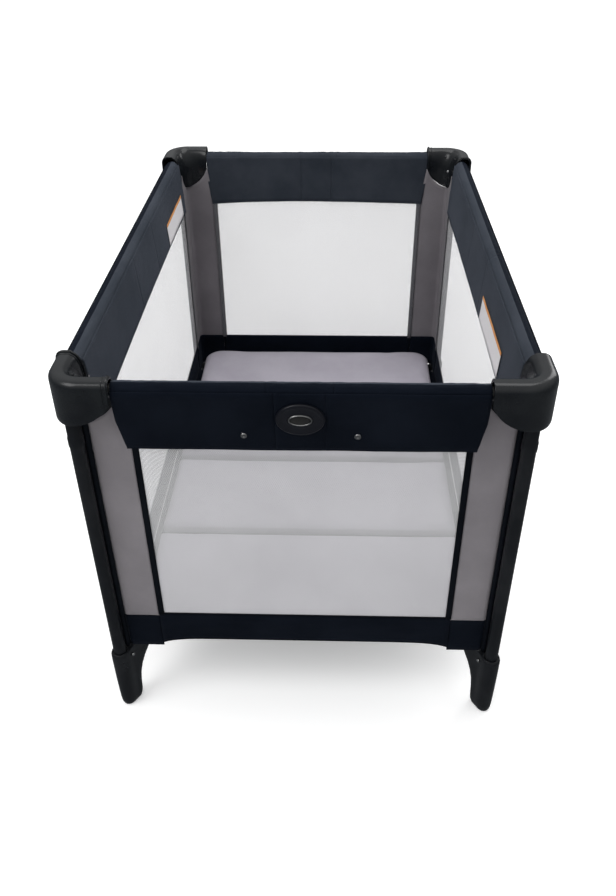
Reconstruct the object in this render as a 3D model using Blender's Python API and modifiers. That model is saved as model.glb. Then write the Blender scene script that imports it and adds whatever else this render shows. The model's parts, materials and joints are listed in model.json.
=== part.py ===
"""Folding travel playpen, standing open: metres, +Z up, feet on z = 0, short ends on the Y axis.

Four posts carry corner castings and feet. Two hinged half rails and a latch make each top rail.
Four base arms meet at a hub under the floor. Sewn covers, mesh walls, a fabric tray and a
four-panel mattress fill the frame.
"""

import math

import bmesh
import bpy
from mathutils import Matrix, Vector

# Overall size, outer face to outer face of the corner castings.
HALF_W = 0.360
HALF_L = 0.550
TOP = 0.720
GAP = 0.0003
MERGE = 0.00001
FLAT_ANGLE = 0.001

# Posts stand on the axis this far inside both outer faces.
POST_INSET = 0.027
POST_X = HALF_W - POST_INSET
POST_Y = HALF_L - POST_INSET
POST_R = 0.0115
TUBE_WALL = 0.0012
POST_BOTTOM = 0.050
POST_TOP = 0.711

# Corner castings.
CAST_LEG = 0.094
CAST_DEPTH = 0.0370
CAST_CORNER_R = 0.050
CAST_WALL = 0.003
CAST_ROUND = 0.012
CAST_SKIRT_R = 0.0735
CAST_SKIRT_Z = 0.705
CAST_SKIRT_DROP = 0.064
CAST_PULL = 0.0265
CAST_LOW = 0.625
CAST_HOLLOW_LOW = 0.615
CAST_CLEAR = 0.020
SKIRT_STEPS = 7
SKIRT_SEGMENTS = 22

# Half rails and their two pivots, measured from the post axis and from the middle of the wall.
RAIL_R = 0.0105
RAIL_Z = 0.698
RAIL_OUT = 0.0060
RAIL_PIVOT = 0.046
RAIL_OVERHANG = 0.010

# Feet: the turned sleeve as (radius, height) and the fin as (distance from the post, height).
FOOT_SLEEVE = [(0.0080, 0.000), (0.0125, 0.008), (0.0148, 0.035), (0.0165, 0.100), (0.0165, 0.138),
               (0.0150, 0.140)]
FOOT_FIN = [(-0.004, 0.004), (0.022, 0.004), (0.028, 0.012), (0.031, 0.030), (0.035, 0.055),
            (0.0415, 0.075), (0.0515, 0.090), (0.063, 0.102), (0.078, 0.117), (0.079, 0.128),
            (0.071, 0.1365), (0.060, 0.1385), (-0.004, 0.1385)]
FOOT_FIN_EDGE = 0.0028
SLOT_SPARE = 0.0045
SLOT_DROP = 0.0135
SLOT_FAR = 0.100
SLOT_HIGH = 0.160

# Base arms, in the diagonal planes.
ARM_R = 0.008
ARM_Z = 0.122
FOOT_PIVOT = 0.060
HUB_PIVOT = 0.070
DIAGONAL = math.hypot(POST_X, POST_Y)
UNIT_X = POST_X / DIAGONAL
UNIT_Y = POST_Y / DIAGONAL
PIN_R = 0.0032
PIN_BORE_R = 0.0035
PIN_HEAD_R = 0.0055
PIN_CROWN_R = 0.0040
PIN_HEAD = 0.0016
PIN_BORE_HALF = 0.020
ARM_WALL = 0.001
ARM_OVERHANG = 0.009
FORK_HALF = 0.0118
SLOT_HALF = 0.0084

# Hub, centre leg and strap, as profiles: (radius, height) or (distance, height).
HUB_BODY = [(0.044, 0.106), (0.050, 0.112), (0.050, 0.142), (0.042, 0.154)]
HUB_FORK = [(0.020, 0.108), (0.084, 0.112), (0.087, 0.122), (0.084, 0.136), (0.066, 0.144),
            (0.020, 0.150)]
HUB_SLOT_NEAR = HUB_PIVOT - 0.0135
HUB_SLOT = [(HUB_SLOT_NEAR, 0.09), (0.11, 0.09), (0.11, 0.1345), (HUB_SLOT_NEAR, 0.1345)]
HUB_LEG = [(0.017, 0.0), (0.020, 0.003), (0.020, 0.010), (0.013, 0.022), (0.013, 0.095),
           (0.018, 0.1055)]
STRAP_HALF = 0.0125
STRAP_Z = 0.1544
STRAP_OUTER = [(-0.040, STRAP_Z), (-0.040, 0.1562), (-0.030, 0.1590), (-0.020, 0.1642),
               (0.020, 0.1642), (0.030, 0.1590), (0.040, 0.1562), (0.040, STRAP_Z)]
STRAP_INNER = [(0.030, STRAP_Z), (0.029, 0.1568), (0.019, 0.1620), (-0.019, 0.1620),
               (-0.029, 0.1568), (-0.030, STRAP_Z)]

# The rails and the arms fold through the same angle when these sums match.
LATCH_PIVOT_X = UNIT_X * (FOOT_PIVOT + HUB_PIVOT) - RAIL_PIVOT
LATCH_PIVOT_Y = UNIT_Y * (FOOT_PIVOT + HUB_PIVOT) - RAIL_PIVOT

# Sewn walls, measured to their outer faces.
WALL_INSET = 0.0135
WALL_X = POST_X - WALL_INSET
WALL_Y = POST_Y - WALL_INSET
CLOTH = 0.0015
STRIP_WIDTH = 0.065
STRIP_TOP = 0.669
COVER_R = 0.0148
COVER_BOTTOM = 0.597
COVER_LOW_OUT = 0.003
COVER_LOW_IN = -0.0165
SKIRT_TOP = 0.226
SKIRT_LOW = 0.140
FLOOR_Z = 0.162
CUT_CLEAR = 0.010
HOLE_CLEAR = 0.0005

# The skirt's lower edge is flat along the middle and drops near the feet, which it is cut round:
# the notch is given as (distance from the post axis, height).
ARCH_MARGIN = 0.035
ARCH_DROP = 0.022
ARCH_POWER = 10
ARCH_STEPS = 8
SLIT_HALF_X = 0.022
SLIT_HALF_Y = 0.050
NOTCH = [(-0.02, 0.10), (0.11, 0.10), (0.11, 0.1425), (-0.02, 0.1425)]
NOTCH_HALF = FORK_HALF + 0.003

# Latch housings and their press buttons. The lower part is given as (along the wall, height from
# the rails), and the head as a section (outward from the rails, height from the rails).
LATCH_LOWER = [(-0.030, -0.0160), (-0.030, -0.0720), (-0.020, -0.0840), (0.020, -0.0840),
               (0.030, -0.0720), (0.030, -0.0160)]
LATCH_BACK = -0.0070
LATCH_FRONT = 0.0040
LATCH_HEAD = [(-0.0122, 0.0040), (0.0122, 0.0040), (0.0120, -0.0045), (0.0088, -0.0200),
              (-0.0122, -0.0200)]
LATCH_HEAD_SPARE = 0.0155
LATCH_SLOT_SPARE = 0.0148
LATCH_SLOT_HALF = 0.0109
LATCH_SLOT_LOW = -0.0150
LATCH_SLOT_TOP = 0.0440
LATCH_SLOT_OUT = 0.0500
BEZEL_Z = 0.660
BEZEL_TILT = math.radians(10.0)
BEZEL_A = 0.0335
BEZEL_B = 0.028
BEZEL_PROUD = 0.005
BEZEL_ROOT = -0.0130
BEZEL_EDGE = 0.003
BUTTON_A = 0.0175
BUTTON_B = 0.0105
BUTTON_PROUD = 0.0065
BUTTON_ROOT = -0.0040
BUTTON_BORE_ROOT = -0.0090
BUTTON_EDGE = 0.0015

# Mattress.
PAD_HALF_W = 0.306
PAD_HALF_L = 0.495
PAD_BOTTOM = 0.1655
PAD_THICK = 0.027
PAD_CORNER_R = 0.045
PAD_SLIT = 0.004
PAD_EDGE = 0.006
PAD_COUNT = 4

CORNERS = {"fl": (-1, -1), "fr": (1, -1), "br": (1, 1), "bl": (-1, 1)}
# Each wall: direction along it, direction outward, distance of the post plane, post distance.
WALLS = {
    "front": (Vector((1, 0, 0)), Vector((0, -1, 0)), POST_Y, POST_X, LATCH_PIVOT_X),
    "back": (Vector((1, 0, 0)), Vector((0, 1, 0)), POST_Y, POST_X, LATCH_PIVOT_X),
    "left": (Vector((0, 1, 0)), Vector((-1, 0, 0)), POST_X, POST_Y, LATCH_PIVOT_Y),
    "right": (Vector((0, 1, 0)), Vector((1, 0, 0)), POST_X, POST_Y, LATCH_PIVOT_Y),
}
UP = Vector((0, 0, 1))


def start():
    """Empties the scene and makes one collection for the object and one for its cutters."""
    for obj in list(bpy.data.objects):
        bpy.data.objects.remove(obj, do_unlink=True)
    shown = bpy.data.collections.new("playpen")
    cutters = bpy.data.collections.new("cutters")
    bpy.context.scene.collection.children.link(shown)
    bpy.context.scene.collection.children.link(cutters)
    return shown, cutters


SHOWN, CUTTERS = start()


def material(name, colour, roughness, metallic=0.0):
    made = bpy.data.materials.new(name)
    made.use_nodes = True
    shader = made.node_tree.nodes["Principled BSDF"]
    shader.inputs["Base Color"].default_value = (*colour, 1.0)
    shader.inputs["Roughness"].default_value = roughness
    shader.inputs["Metallic"].default_value = metallic
    return made


def finish(name, bm, mat, origin=(0, 0, 0), collection=None):
    """Turns a bmesh in world coordinates into an object whose origin is at the given point."""
    bmesh.ops.recalc_face_normals(bm, faces=bm.faces)
    bmesh.ops.translate(bm, verts=bm.verts, vec=-Vector(origin))
    mesh = bpy.data.meshes.new(name)
    bm.to_mesh(mesh)
    bm.free()
    obj = bpy.data.objects.new(name, mesh)
    obj.location = origin
    (collection or SHOWN).objects.link(obj)
    if mat is not None:
        mesh.materials.append(mat)
    return obj


def cutter(name, bm):
    obj = finish(name, bm, None, collection=CUTTERS)
    obj.hide_render = True
    obj.display_type = "WIRE"
    return obj


def boolean(obj, other, operation="DIFFERENCE"):
    made = obj.modifiers.new(operation.lower(), "BOOLEAN")
    made.operation = operation
    made.solver = "EXACT"
    made.object = other


def bevel(obj, width, segments=2, angle=40):
    made = obj.modifiers.new("bevel", "BEVEL")
    made.width = width
    made.segments = segments
    made.limit_method = "ANGLE"
    made.angle_limit = math.radians(angle)


def evaluated(obj):
    """A bmesh of an object with its modifiers applied or its curve filled; the object is removed."""
    graph = bpy.context.evaluated_depsgraph_get()
    mesh = bpy.data.meshes.new_from_object(obj.evaluated_get(graph))
    bm = bmesh.new()
    bm.from_mesh(mesh)
    bmesh.ops.remove_doubles(bm, verts=bm.verts, dist=MERGE)
    bpy.data.meshes.remove(mesh)
    bpy.data.objects.remove(obj)
    return bm


def frame_matrix(centre, across, upward, way):
    """The matrix that takes local X, Y and Z to three directions at a centre."""
    turn = Matrix((across, upward, way)).transposed()
    return Matrix.Translation(centre) @ turn.to_4x4()


def axes_for(direction):
    """Two unit vectors square to the direction."""
    other = UP if abs(direction.z) < 0.9 else Vector((1, 0, 0))
    first = direction.cross(other).normalized()
    return first, direction.cross(first).normalized()


def screwed(base, way, profile, closed, segments):
    """A profile of (radius, distance along way) turned once round the way with a Screw modifier."""
    mesh = bpy.data.meshes.new("profile")
    edges = [(i, i + 1) for i in range(len(profile) - 1)]
    if closed:
        edges.append((len(profile) - 1, 0))
    mesh.from_pydata([(radius, 0, height) for radius, height in profile], edges, [])
    obj = bpy.data.objects.new("profile", mesh)
    bpy.context.scene.collection.objects.link(obj)
    screw = obj.modifiers.new("screw", "SCREW")
    screw.steps = segments
    screw.render_steps = segments
    screw.use_merge_vertices = True
    screw.merge_threshold = MERGE
    bm = evaluated(obj)
    first, second = axes_for(way)
    half_step = Matrix.Rotation(math.pi / segments, 4, "Z")
    place = frame_matrix(base, first, way.cross(first), way) @ half_step
    bmesh.ops.transform(bm, matrix=place, verts=bm.verts)
    return bm


def turned(base, way, profile, segments=16):
    """A solid of revolution with flat ends: the profile starts and ends off the axis."""
    closed_ends = [(0.0, profile[0][1])] + profile + [(0.0, profile[-1][1])]
    bm = screwed(base, way, closed_ends, False, segments)
    bmesh.ops.dissolve_limit(bm, angle_limit=FLAT_ANGLE, verts=bm.verts, edges=bm.edges)
    return bm


def tube(start_point, end_point, radius, wall, segments=12):
    """A hollow tube, open at both ends."""
    way = (end_point - start_point).normalized()
    length = (end_point - start_point).length
    inner = radius - wall
    section = [(radius, length), (radius, 0.0), (inner, 0.0), (inner, length)]
    return screwed(start_point, way, section, True, segments)


def box(low, high):
    bm = bmesh.new()
    middle = [(a + b) / 2 for a, b in zip(low, high)]
    size = [b - a for a, b in zip(low, high)]
    bmesh.ops.create_cube(bm, size=1.0)
    bmesh.ops.scale(bm, vec=size, verts=bm.verts)
    bmesh.ops.translate(bm, vec=middle, verts=bm.verts)
    return bm


def prism(points, way, first, last):
    """A flat outline of points, filled as a 2D curve and given its thickness along a direction."""
    across, _ = axes_for(way)
    upward = way.cross(across)
    data = bpy.data.curves.new("outline", "CURVE")
    data.dimensions = "2D"
    data.fill_mode = "BOTH"
    data.extrude = (last - first) / 2
    spline = data.splines.new("POLY")
    spline.points.add(len(points) - 1)
    for handle, point in zip(spline.points, points):
        handle.co = (point.dot(across), point.dot(upward), 0, 1)
    spline.use_cyclic_u = True
    obj = bpy.data.objects.new("outline", data)
    bpy.context.scene.collection.objects.link(obj)
    bm = evaluated(obj)
    bpy.data.curves.remove(data)
    plane = points[0].dot(way) + (first + last) / 2
    bmesh.ops.transform(bm, matrix=frame_matrix(way * plane, across, upward, way), verts=bm.verts)
    bmesh.ops.dissolve_limit(bm, angle_limit=FLAT_ANGLE, verts=bm.verts, edges=bm.edges)
    return bm


def diagonal_frame(sx, sy):
    """Foot of the post, direction to the middle of the playpen and direction across it."""
    post = Vector((sx * POST_X, sy * POST_Y, 0))
    along = Vector((-sx * UNIT_X, -sy * UNIT_Y, 0))
    return post, along, UP.cross(along)


def wall_point(wall, a, o, z):
    """A point a along the wall from its middle, o outward of the post plane, at height z."""
    along, outward, distance, _, _ = WALLS[wall]
    return along * a + outward * (distance + o) + UP * z


# ---------------------------------------------------------------- posts, castings and feet


def make_post(corner, mat):
    sx, sy = CORNERS[corner]
    base = Vector((sx * POST_X, sy * POST_Y, POST_BOTTOM))
    end = Vector((sx * POST_X, sy * POST_Y, POST_TOP))
    finish("post_" + corner, tube(base, end, POST_R, TUBE_WALL, 16), mat, base)


def casting_outline():
    """Plan of a casting from its sharp outer corner: x along one leg, y along the other."""
    points = [Vector((CAST_LEG, 0))]
    for i in range(7):
        turn = math.radians(90 * i / 6)
        x = CAST_CORNER_R * (1 - math.sin(turn))
        y = CAST_CORNER_R * (1 - math.cos(turn))
        points.append(Vector((x, y)))
    points.append(Vector((0, CAST_LEG)))
    begin = Vector((CAST_DEPTH, CAST_LEG))
    pull = Vector((CAST_PULL, CAST_PULL))
    end = Vector((CAST_LEG, CAST_DEPTH))
    for i in range(6):
        t = i / 5
        points.append(begin * (1 - t) ** 2 + pull * 2 * t * (1 - t) + end * t**2)
    return points


def offset(points, distance):
    """The outline moved inward by a distance, corner by corner."""
    moved = []
    count = len(points)
    for i in range(count):
        before = (points[i] - points[i - 1]).normalized()
        after = (points[(i + 1) % count] - points[i]).normalized()
        normal_1 = Vector((before.y, -before.x))
        normal_2 = Vector((after.y, -after.x))
        middle = (normal_1 + normal_2).normalized()
        moved.append(points[i] + middle * distance / max(0.5, middle.dot(normal_1)))
    return moved


def weigh_top(bm, top, inside):
    """Marks the top edges for the bevel, except those that lie across the end of a leg."""
    weight = bm.edges.layers.float.new("bevel_weight_edge")
    for edge in bm.edges:
        ends = [v.co for v in edge.verts]
        level = all(abs(co.z - top) < MERGE for co in ends)
        across = inside(ends[0]) and inside(ends[1])
        edge[weight] = 1.0 if level and not across else 0.0


def casting_block(sx, sy, plan, leg, low, top):
    """The plan of a casting raised from one height to another, with its top edges marked."""
    points = [Vector((sx * (HALF_W - p.x), sy * (HALF_L - p.y), 0)) for p in plan]
    bm = prism(points, UP, low, top)
    end_x = HALF_W - leg
    end_y = HALF_L - leg

    def on_end(co):
        return abs(abs(co.x) - end_x) < MERGE or abs(abs(co.y) - end_y) < MERGE

    weigh_top(bm, top, on_end)
    return bm


def round_top(obj, width):
    made = obj.modifiers.new("rounded_top", "BEVEL")
    made.width = width
    made.segments = 3
    made.limit_method = "WEIGHT"
    made.use_clamp_overlap = False


def skirt_bowl(sx, sy, spare):
    """The bowl round a post whose section is the quarter ellipse of the casting's lower edge."""
    post = Vector((sx * POST_X, sy * POST_Y, 0))
    widest = CAST_SKIRT_R + spare
    drop = CAST_SKIRT_DROP + spare
    profile = []
    for i in range(1, SKIRT_STEPS + 1):
        turn = math.radians(90 * i / SKIRT_STEPS)
        profile.append((widest * math.sin(turn), CAST_SKIRT_Z - drop * math.cos(turn)))
    profile.append((widest, TOP + CAST_CLEAR))
    return turned(post, UP, profile, SKIRT_SEGMENTS)


def make_casting(corner, mat):
    sx, sy = CORNERS[corner]
    plan = casting_outline()
    pivot = (sx * POST_X, sy * POST_Y, RAIL_Z)
    block = casting_block(sx, sy, plan, CAST_LEG, CAST_LOW, TOP)
    obj = finish("casting_" + corner, block, mat, pivot)
    round_top(obj, CAST_ROUND)

    # The hollow is open at the ends of the legs and underneath.
    longer = CAST_LEG + CAST_CLEAR
    inner = offset(plan, CAST_WALL)
    for point in inner:
        point.x = longer if point.x > CAST_LEG - CAST_WALL - GAP else point.x
        point.y = longer if point.y > CAST_LEG - CAST_WALL - GAP else point.y
    hollow = casting_block(sx, sy, inner, longer, CAST_HOLLOW_LOW, TOP - CAST_WALL)
    hollow = cutter("casting_hollow_" + corner, hollow)
    round_top(hollow, CAST_ROUND - CAST_WALL)
    boolean(obj, hollow)

    keep = cutter("casting_skirt_" + corner, skirt_bowl(sx, sy, 0.0))
    boolean(obj, keep, "INTERSECT")


def foot_point(frame, s, z):
    post, along, _ = frame
    return post + along * s + UP * z


def make_foot(corner, mat):
    sx, sy = CORNERS[corner]
    frame = diagonal_frame(sx, sy)
    post, along, across = frame
    obj = finish("foot_" + corner, turned(post, UP, FOOT_SLEEVE, 16), mat, post)
    points = [foot_point(frame, s, z) for s, z in FOOT_FIN]
    fin = cutter("foot_fin_" + corner, prism(points, across, -FORK_HALF, FORK_HALF))
    bevel(fin, FOOT_FIN_EDGE, 1, 50)
    boolean(obj, fin, "UNION")

    bore_way = [(POST_R + GAP, 0.0), (POST_R + GAP, SLOT_HIGH)]
    bore_base = post + UP * (POST_BOTTOM - GAP)
    boolean(obj, cutter("foot_bore_" + corner, turned(bore_base, UP, bore_way, 14)))

    near = FOOT_PIVOT - RAIL_OVERHANG - SLOT_SPARE
    low = ARM_Z - SLOT_DROP
    slot = [(near, low), (SLOT_FAR, low), (SLOT_FAR, SLOT_HIGH), (near, SLOT_HIGH)]
    points = [foot_point(frame, s, z) for s, z in slot]
    slot_cut = cutter("foot_slot_" + corner, prism(points, across, -SLOT_HALF, SLOT_HALF))
    boolean(obj, slot_cut)
    pivot = foot_point(frame, FOOT_PIVOT, ARM_Z)
    boolean(obj, cutter("foot_pin_bore_" + corner, pin_bore(pivot, across)))


# ---------------------------------------------------------------- base arms, pins and hub


def pin_bore(pivot, across):
    bore = [(PIN_BORE_R, -PIN_BORE_HALF), (PIN_BORE_R, PIN_BORE_HALF)]
    return turned(pivot, across, bore, 8)


def make_pin(name, pivot, across, mat):
    head = FORK_HALF + GAP
    profile = [(PIN_CROWN_R, -head - PIN_HEAD), (PIN_HEAD_R, -head), (PIN_R, -head)]
    profile += [(PIN_R, head), (PIN_HEAD_R, head), (PIN_CROWN_R, head + PIN_HEAD)]
    finish(name, turned(pivot, across, profile, 8), mat, pivot)


def make_arm(corner, mat):
    sx, sy = CORNERS[corner]
    frame = diagonal_frame(sx, sy)
    _, along, across = frame
    foot = foot_point(frame, FOOT_PIVOT, ARM_Z)
    inner = foot_point(frame, DIAGONAL - HUB_PIVOT, ARM_Z)
    begin = foot - along * ARM_OVERHANG
    end = inner + along * ARM_OVERHANG
    obj = finish("arm_" + corner, tube(begin, end, ARM_R, ARM_WALL, 12), mat, foot)
    boolean(obj, cutter("arm_bore_outer_" + corner, pin_bore(foot, across)))
    boolean(obj, cutter("arm_bore_inner_" + corner, pin_bore(inner, across)))


def make_hub(mat):
    obj = finish("hub", turned(Vector((0, 0, 0)), UP, HUB_BODY, 20), mat, (0, 0, ARM_Z))
    for corner, (sx, sy) in CORNERS.items():
        _, along, across = diagonal_frame(sx, sy)
        points = [UP * z - along * r for r, z in HUB_FORK]
        fork = cutter("hub_fork_" + corner, prism(points, across, -FORK_HALF, FORK_HALF))
        boolean(obj, fork, "UNION")
    for corner, (sx, sy) in CORNERS.items():
        _, along, across = diagonal_frame(sx, sy)
        points = [UP * z - along * r for r, z in HUB_SLOT]
        slot = cutter("hub_slot_" + corner, prism(points, across, -SLOT_HALF, SLOT_HALF))
        boolean(obj, slot)
        pivot = UP * ARM_Z - along * HUB_PIVOT
        boolean(obj, cutter("hub_bore_" + corner, pin_bore(pivot, across)))


def make_hub_leg(mat):
    top = (0, 0, HUB_LEG[-1][1])
    finish("hub_leg", turned(Vector((0, 0, 0)), UP, HUB_LEG, 16), mat, top)


def make_strap(mat):
    """A webbing handle that arches over the hub, just under the mattress."""
    points = [Vector((0, y, z)) for y, z in STRAP_OUTER + STRAP_INNER]
    way = Vector((1, 0, 0))
    finish("pull_strap", prism(points, way, -STRAP_HALF, STRAP_HALF), mat, (0, 0, STRAP_Z))


# ---------------------------------------------------------------- top rails and latches


def make_rail(name, wall, side, mat):
    _, _, _, reach, latch = WALLS[wall]
    outer = wall_point(wall, side * (reach - RAIL_PIVOT + RAIL_OVERHANG), RAIL_OUT, RAIL_Z)
    inner = wall_point(wall, side * (latch - RAIL_OVERHANG), RAIL_OUT, RAIL_Z)
    pivot = wall_point(wall, side * (reach - RAIL_PIVOT), RAIL_OUT, RAIL_Z)
    finish(name, tube(outer, inner, RAIL_R, TUBE_WALL), mat, pivot)


def cover_face(z):
    """Outward position of the outer face of a rail cover at a height."""
    top = RAIL_OUT + COVER_R
    return top - (top - COVER_LOW_OUT) * (RAIL_Z - z) / (RAIL_Z - COVER_BOTTOM)


def oval(wall, semi_a, semi_b, depth_0, depth_1, segments=20):
    """An oval plug square to the tilted face of the cover; depths are measured outward from it."""
    along, outward, _, _, _ = WALLS[wall]
    normal = outward * math.cos(BEZEL_TILT) - UP * math.sin(BEZEL_TILT)
    rise = outward * math.sin(BEZEL_TILT) + UP * math.cos(BEZEL_TILT)
    centre = wall_point(wall, 0, cover_face(BEZEL_Z), BEZEL_Z)
    points = []
    for i in range(segments):
        turn = 2 * math.pi * i / segments
        across = along * semi_a * math.cos(turn)
        points.append(centre + across + rise * semi_b * math.sin(turn))
    return prism(points, normal, depth_0, depth_1)


def make_latch(wall, mat):
    along, outward, _, _, latch = WALLS[wall]
    half = latch + LATCH_HEAD_SPARE
    lower = [wall_point(wall, a, 0, RAIL_Z + z) for a, z in LATCH_LOWER]
    upper = [wall_point(wall, 0, RAIL_OUT + o, RAIL_Z + z) for o, z in LATCH_HEAD]
    pivot = wall_point(wall, -latch, RAIL_OUT, RAIL_Z)
    obj = finish("latch_" + wall, prism(lower, outward, LATCH_BACK, LATCH_FRONT), mat, pivot)
    boolean(obj, cutter("latch_top_" + wall, prism(upper, along, -half, half)), "UNION")
    bezel = cutter("bezel_" + wall, oval(wall, BEZEL_A, BEZEL_B, BEZEL_ROOT, BEZEL_PROUD))
    bevel(bezel, BEZEL_EDGE, 1, 60)
    boolean(obj, bezel, "UNION")
    for side in (-1, 1):
        near = latch - LATCH_SLOT_SPARE
        far = latch + LATCH_SLOT_OUT
        slot = [(near, LATCH_SLOT_LOW), (far, LATCH_SLOT_LOW)]
        slot += [(far, LATCH_SLOT_TOP), (near, LATCH_SLOT_TOP)]
        points = [wall_point(wall, side * a, 0, RAIL_Z + z) for a, z in slot]
        name = "latch_slot_%s_%s" % (wall, "low" if side < 0 else "high")
        cut = prism(points, outward, RAIL_OUT - LATCH_SLOT_HALF, RAIL_OUT + LATCH_SLOT_HALF)
        boolean(obj, cutter(name, cut))
    bore = oval(wall, BUTTON_A + GAP, BUTTON_B + GAP, BUTTON_BORE_ROOT, LATCH_SLOT_OUT)
    boolean(obj, cutter("button_bore_" + wall, bore))


def make_button(wall, mat):
    centre = wall_point(wall, 0, cover_face(BEZEL_Z), BEZEL_Z)
    bm = oval(wall, BUTTON_A, BUTTON_B, BUTTON_ROOT, BUTTON_PROUD)
    obj = finish("button_" + wall, bm, mat, centre)
    bevel(obj, BUTTON_EDGE, 1, 60)


# ---------------------------------------------------------------- sewn pieces


def cover_section(shrink):
    """Section of a rail cover as (outward, height), clockwise from its lower outer edge."""
    radius = COVER_R - shrink
    points = [(COVER_LOW_OUT - shrink, COVER_BOTTOM + shrink)]
    for i in range(9):
        turn = math.radians(180 * i / 8)
        points.append((RAIL_OUT + radius * math.cos(turn), RAIL_Z + radius * math.sin(turn)))
    points.append((COVER_LOW_IN + shrink, COVER_BOTTOM + shrink))
    return points


def make_cover(wall, mat):
    along, outward, _, reach, _ = WALLS[wall]
    end = reach + POST_INSET - CAST_LEG - GAP
    outer = [wall_point(wall, 0, o, z) for o, z in cover_section(0.0)]
    inner = [wall_point(wall, 0, o, z) for o, z in cover_section(CLOTH)]
    origin = wall_point(wall, -end, 0, RAIL_Z)
    obj = finish("cover_" + wall, prism(outer, along, -end, end), mat, origin)
    boolean(obj, cutter("cover_inside_" + wall, prism(inner, along, -end - CUT_CLEAR, end + CUT_CLEAR)))
    hole = oval(wall, BEZEL_A + HOLE_CLEAR, BEZEL_B + HOLE_CLEAR, -CUT_CLEAR, CUT_CLEAR * 2)
    boolean(obj, cutter("cover_hole_" + wall, hole))
    inset = strip_edge(wall) - GAP
    for side in (-1, 1):
        low = COVER_BOTTOM - CUT_CLEAR
        shelf = STRIP_TOP + GAP
        far = end + CUT_CLEAR
        outline = [(inset, low), (far, low), (far, shelf), (inset, shelf)]
        points = [wall_point(wall, side * a, 0, z) for a, z in outline]
        name = "cover_end_%s_%s" % (wall, "low" if side < 0 else "high")
        boolean(obj, cutter(name, prism(points, outward, -COVER_R - CUT_CLEAR, COVER_R + CUT_CLEAR)))


def strip_edge(wall):
    """Distance from the middle of the wall to the inner edge of the corner cloth."""
    along = WALLS[wall][0]
    return (WALL_X if along.x else WALL_Y) - STRIP_WIDTH


def make_corner_cloth(corner, mat):
    sx, sy = CORNERS[corner]
    x0, y0 = WALL_X, WALL_Y
    x1, y1 = WALL_X - CLOTH, WALL_Y - CLOTH
    x2, y2 = WALL_X - STRIP_WIDTH, WALL_Y - STRIP_WIDTH
    plan = [(x2, y0), (x0, y0), (x0, y2), (x1, y2), (x1, y1), (x2, y1)]
    points = [Vector((sx * x, sy * y, 0)) for x, y in plan]
    origin = (sx * WALL_X, sy * WALL_Y, SKIRT_TOP + GAP)
    cloth = prism(points, UP, SKIRT_TOP + GAP, STRIP_TOP)
    obj = finish("corner_cloth_" + corner, cloth, mat, origin)
    boolean(obj, cutter("cloth_top_" + corner, skirt_bowl(sx, sy, CLOTH)))


def make_mesh(wall, mat):
    outward = WALLS[wall][1]
    half = strip_edge(wall) - GAP
    plan = [(-half, SKIRT_TOP + GAP), (half, SKIRT_TOP + GAP)]
    plan += [(half, COVER_BOTTOM - GAP), (-half, COVER_BOTTOM - GAP)]
    points = [wall_point(wall, a, 0, z) for a, z in plan]
    bm = prism(points, outward, -WALL_INSET - CLOTH, -WALL_INSET)
    finish("mesh_" + wall, bm, mat, wall_point(wall, -half, -WALL_INSET, SKIRT_TOP))


def make_tray(mat):
    """The fabric bottom: a floor sheet and the skirt sewn round it, in one piece."""
    outer = box((-WALL_X, -WALL_Y, SKIRT_LOW), (WALL_X, WALL_Y, SKIRT_TOP))
    obj = finish("floor_tray", outer, mat, (0, 0, FLOOR_Z))
    inside_x = WALL_X - CLOTH
    inside_y = WALL_Y - CLOTH
    above_low = FLOOR_Z + CLOTH
    above_top = SKIRT_TOP + CUT_CLEAR
    below_low = SKIRT_LOW - CUT_CLEAR
    above = box((-inside_x, -inside_y, above_low), (inside_x, inside_y, above_top))
    below = box((-inside_x, -inside_y, below_low), (inside_x, inside_y, FLOOR_Z))
    boolean(obj, cutter("tray_above", above))
    boolean(obj, cutter("tray_below", below))
    for name, side, way in (("x", WALLS["front"][0], WALLS["left"][0]),
                            ("y", WALLS["left"][0], WALLS["front"][0])):
        reach = (WALL_X if name == "x" else WALL_Y) - ARCH_MARGIN
        points = [side * -reach + UP * below_low]
        for i in range(ARCH_STEPS + 1):
            t = i / ARCH_STEPS * 2 - 1
            points.append(side * reach * t + UP * (FLOOR_Z - GAP - ARCH_DROP * t**ARCH_POWER))
        points.append(side * reach + UP * below_low)
        boolean(obj, cutter("tray_arch_" + name, prism(points, way, -HALF_L, HALF_L)))
    slit_low = FLOOR_Z - CUT_CLEAR
    slit_top = FLOOR_Z + CUT_CLEAR
    slit = box((-SLIT_HALF_X, -SLIT_HALF_Y, slit_low), (SLIT_HALF_X, SLIT_HALF_Y, slit_top))
    boolean(obj, cutter("tray_slit", slit))
    for corner, (sx, sy) in CORNERS.items():
        post, along, across = diagonal_frame(sx, sy)
        points = [post + UP * z + along * s for s, z in NOTCH]
        boolean(obj, cutter("tray_notch_" + corner, prism(points, across, -NOTCH_HALF, NOTCH_HALF)))


def pad_plan(y_low, y_high):
    """Plan of one mattress panel; the two end panels have rounded outer corners."""
    low_r = PAD_CORNER_R if y_low <= -PAD_HALF_L else 0.0
    high_r = PAD_CORNER_R if y_high >= PAD_HALF_L else 0.0
    corners = [(1, 1, y_high, high_r, 0), (-1, 1, y_high, high_r, 90)]
    corners += [(-1, -1, y_low, low_r, 180), (1, -1, y_low, low_r, 270)]
    points = []
    for side, end, y, radius, first in corners:
        steps = 4 if radius else 1
        for i in range(steps):
            turn = math.radians(first + 90 * i / max(1, steps - 1))
            x = side * (PAD_HALF_W - radius) + radius * math.cos(turn)
            points.append(Vector((x, y - end * radius + radius * math.sin(turn), 0)))
    return points


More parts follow.
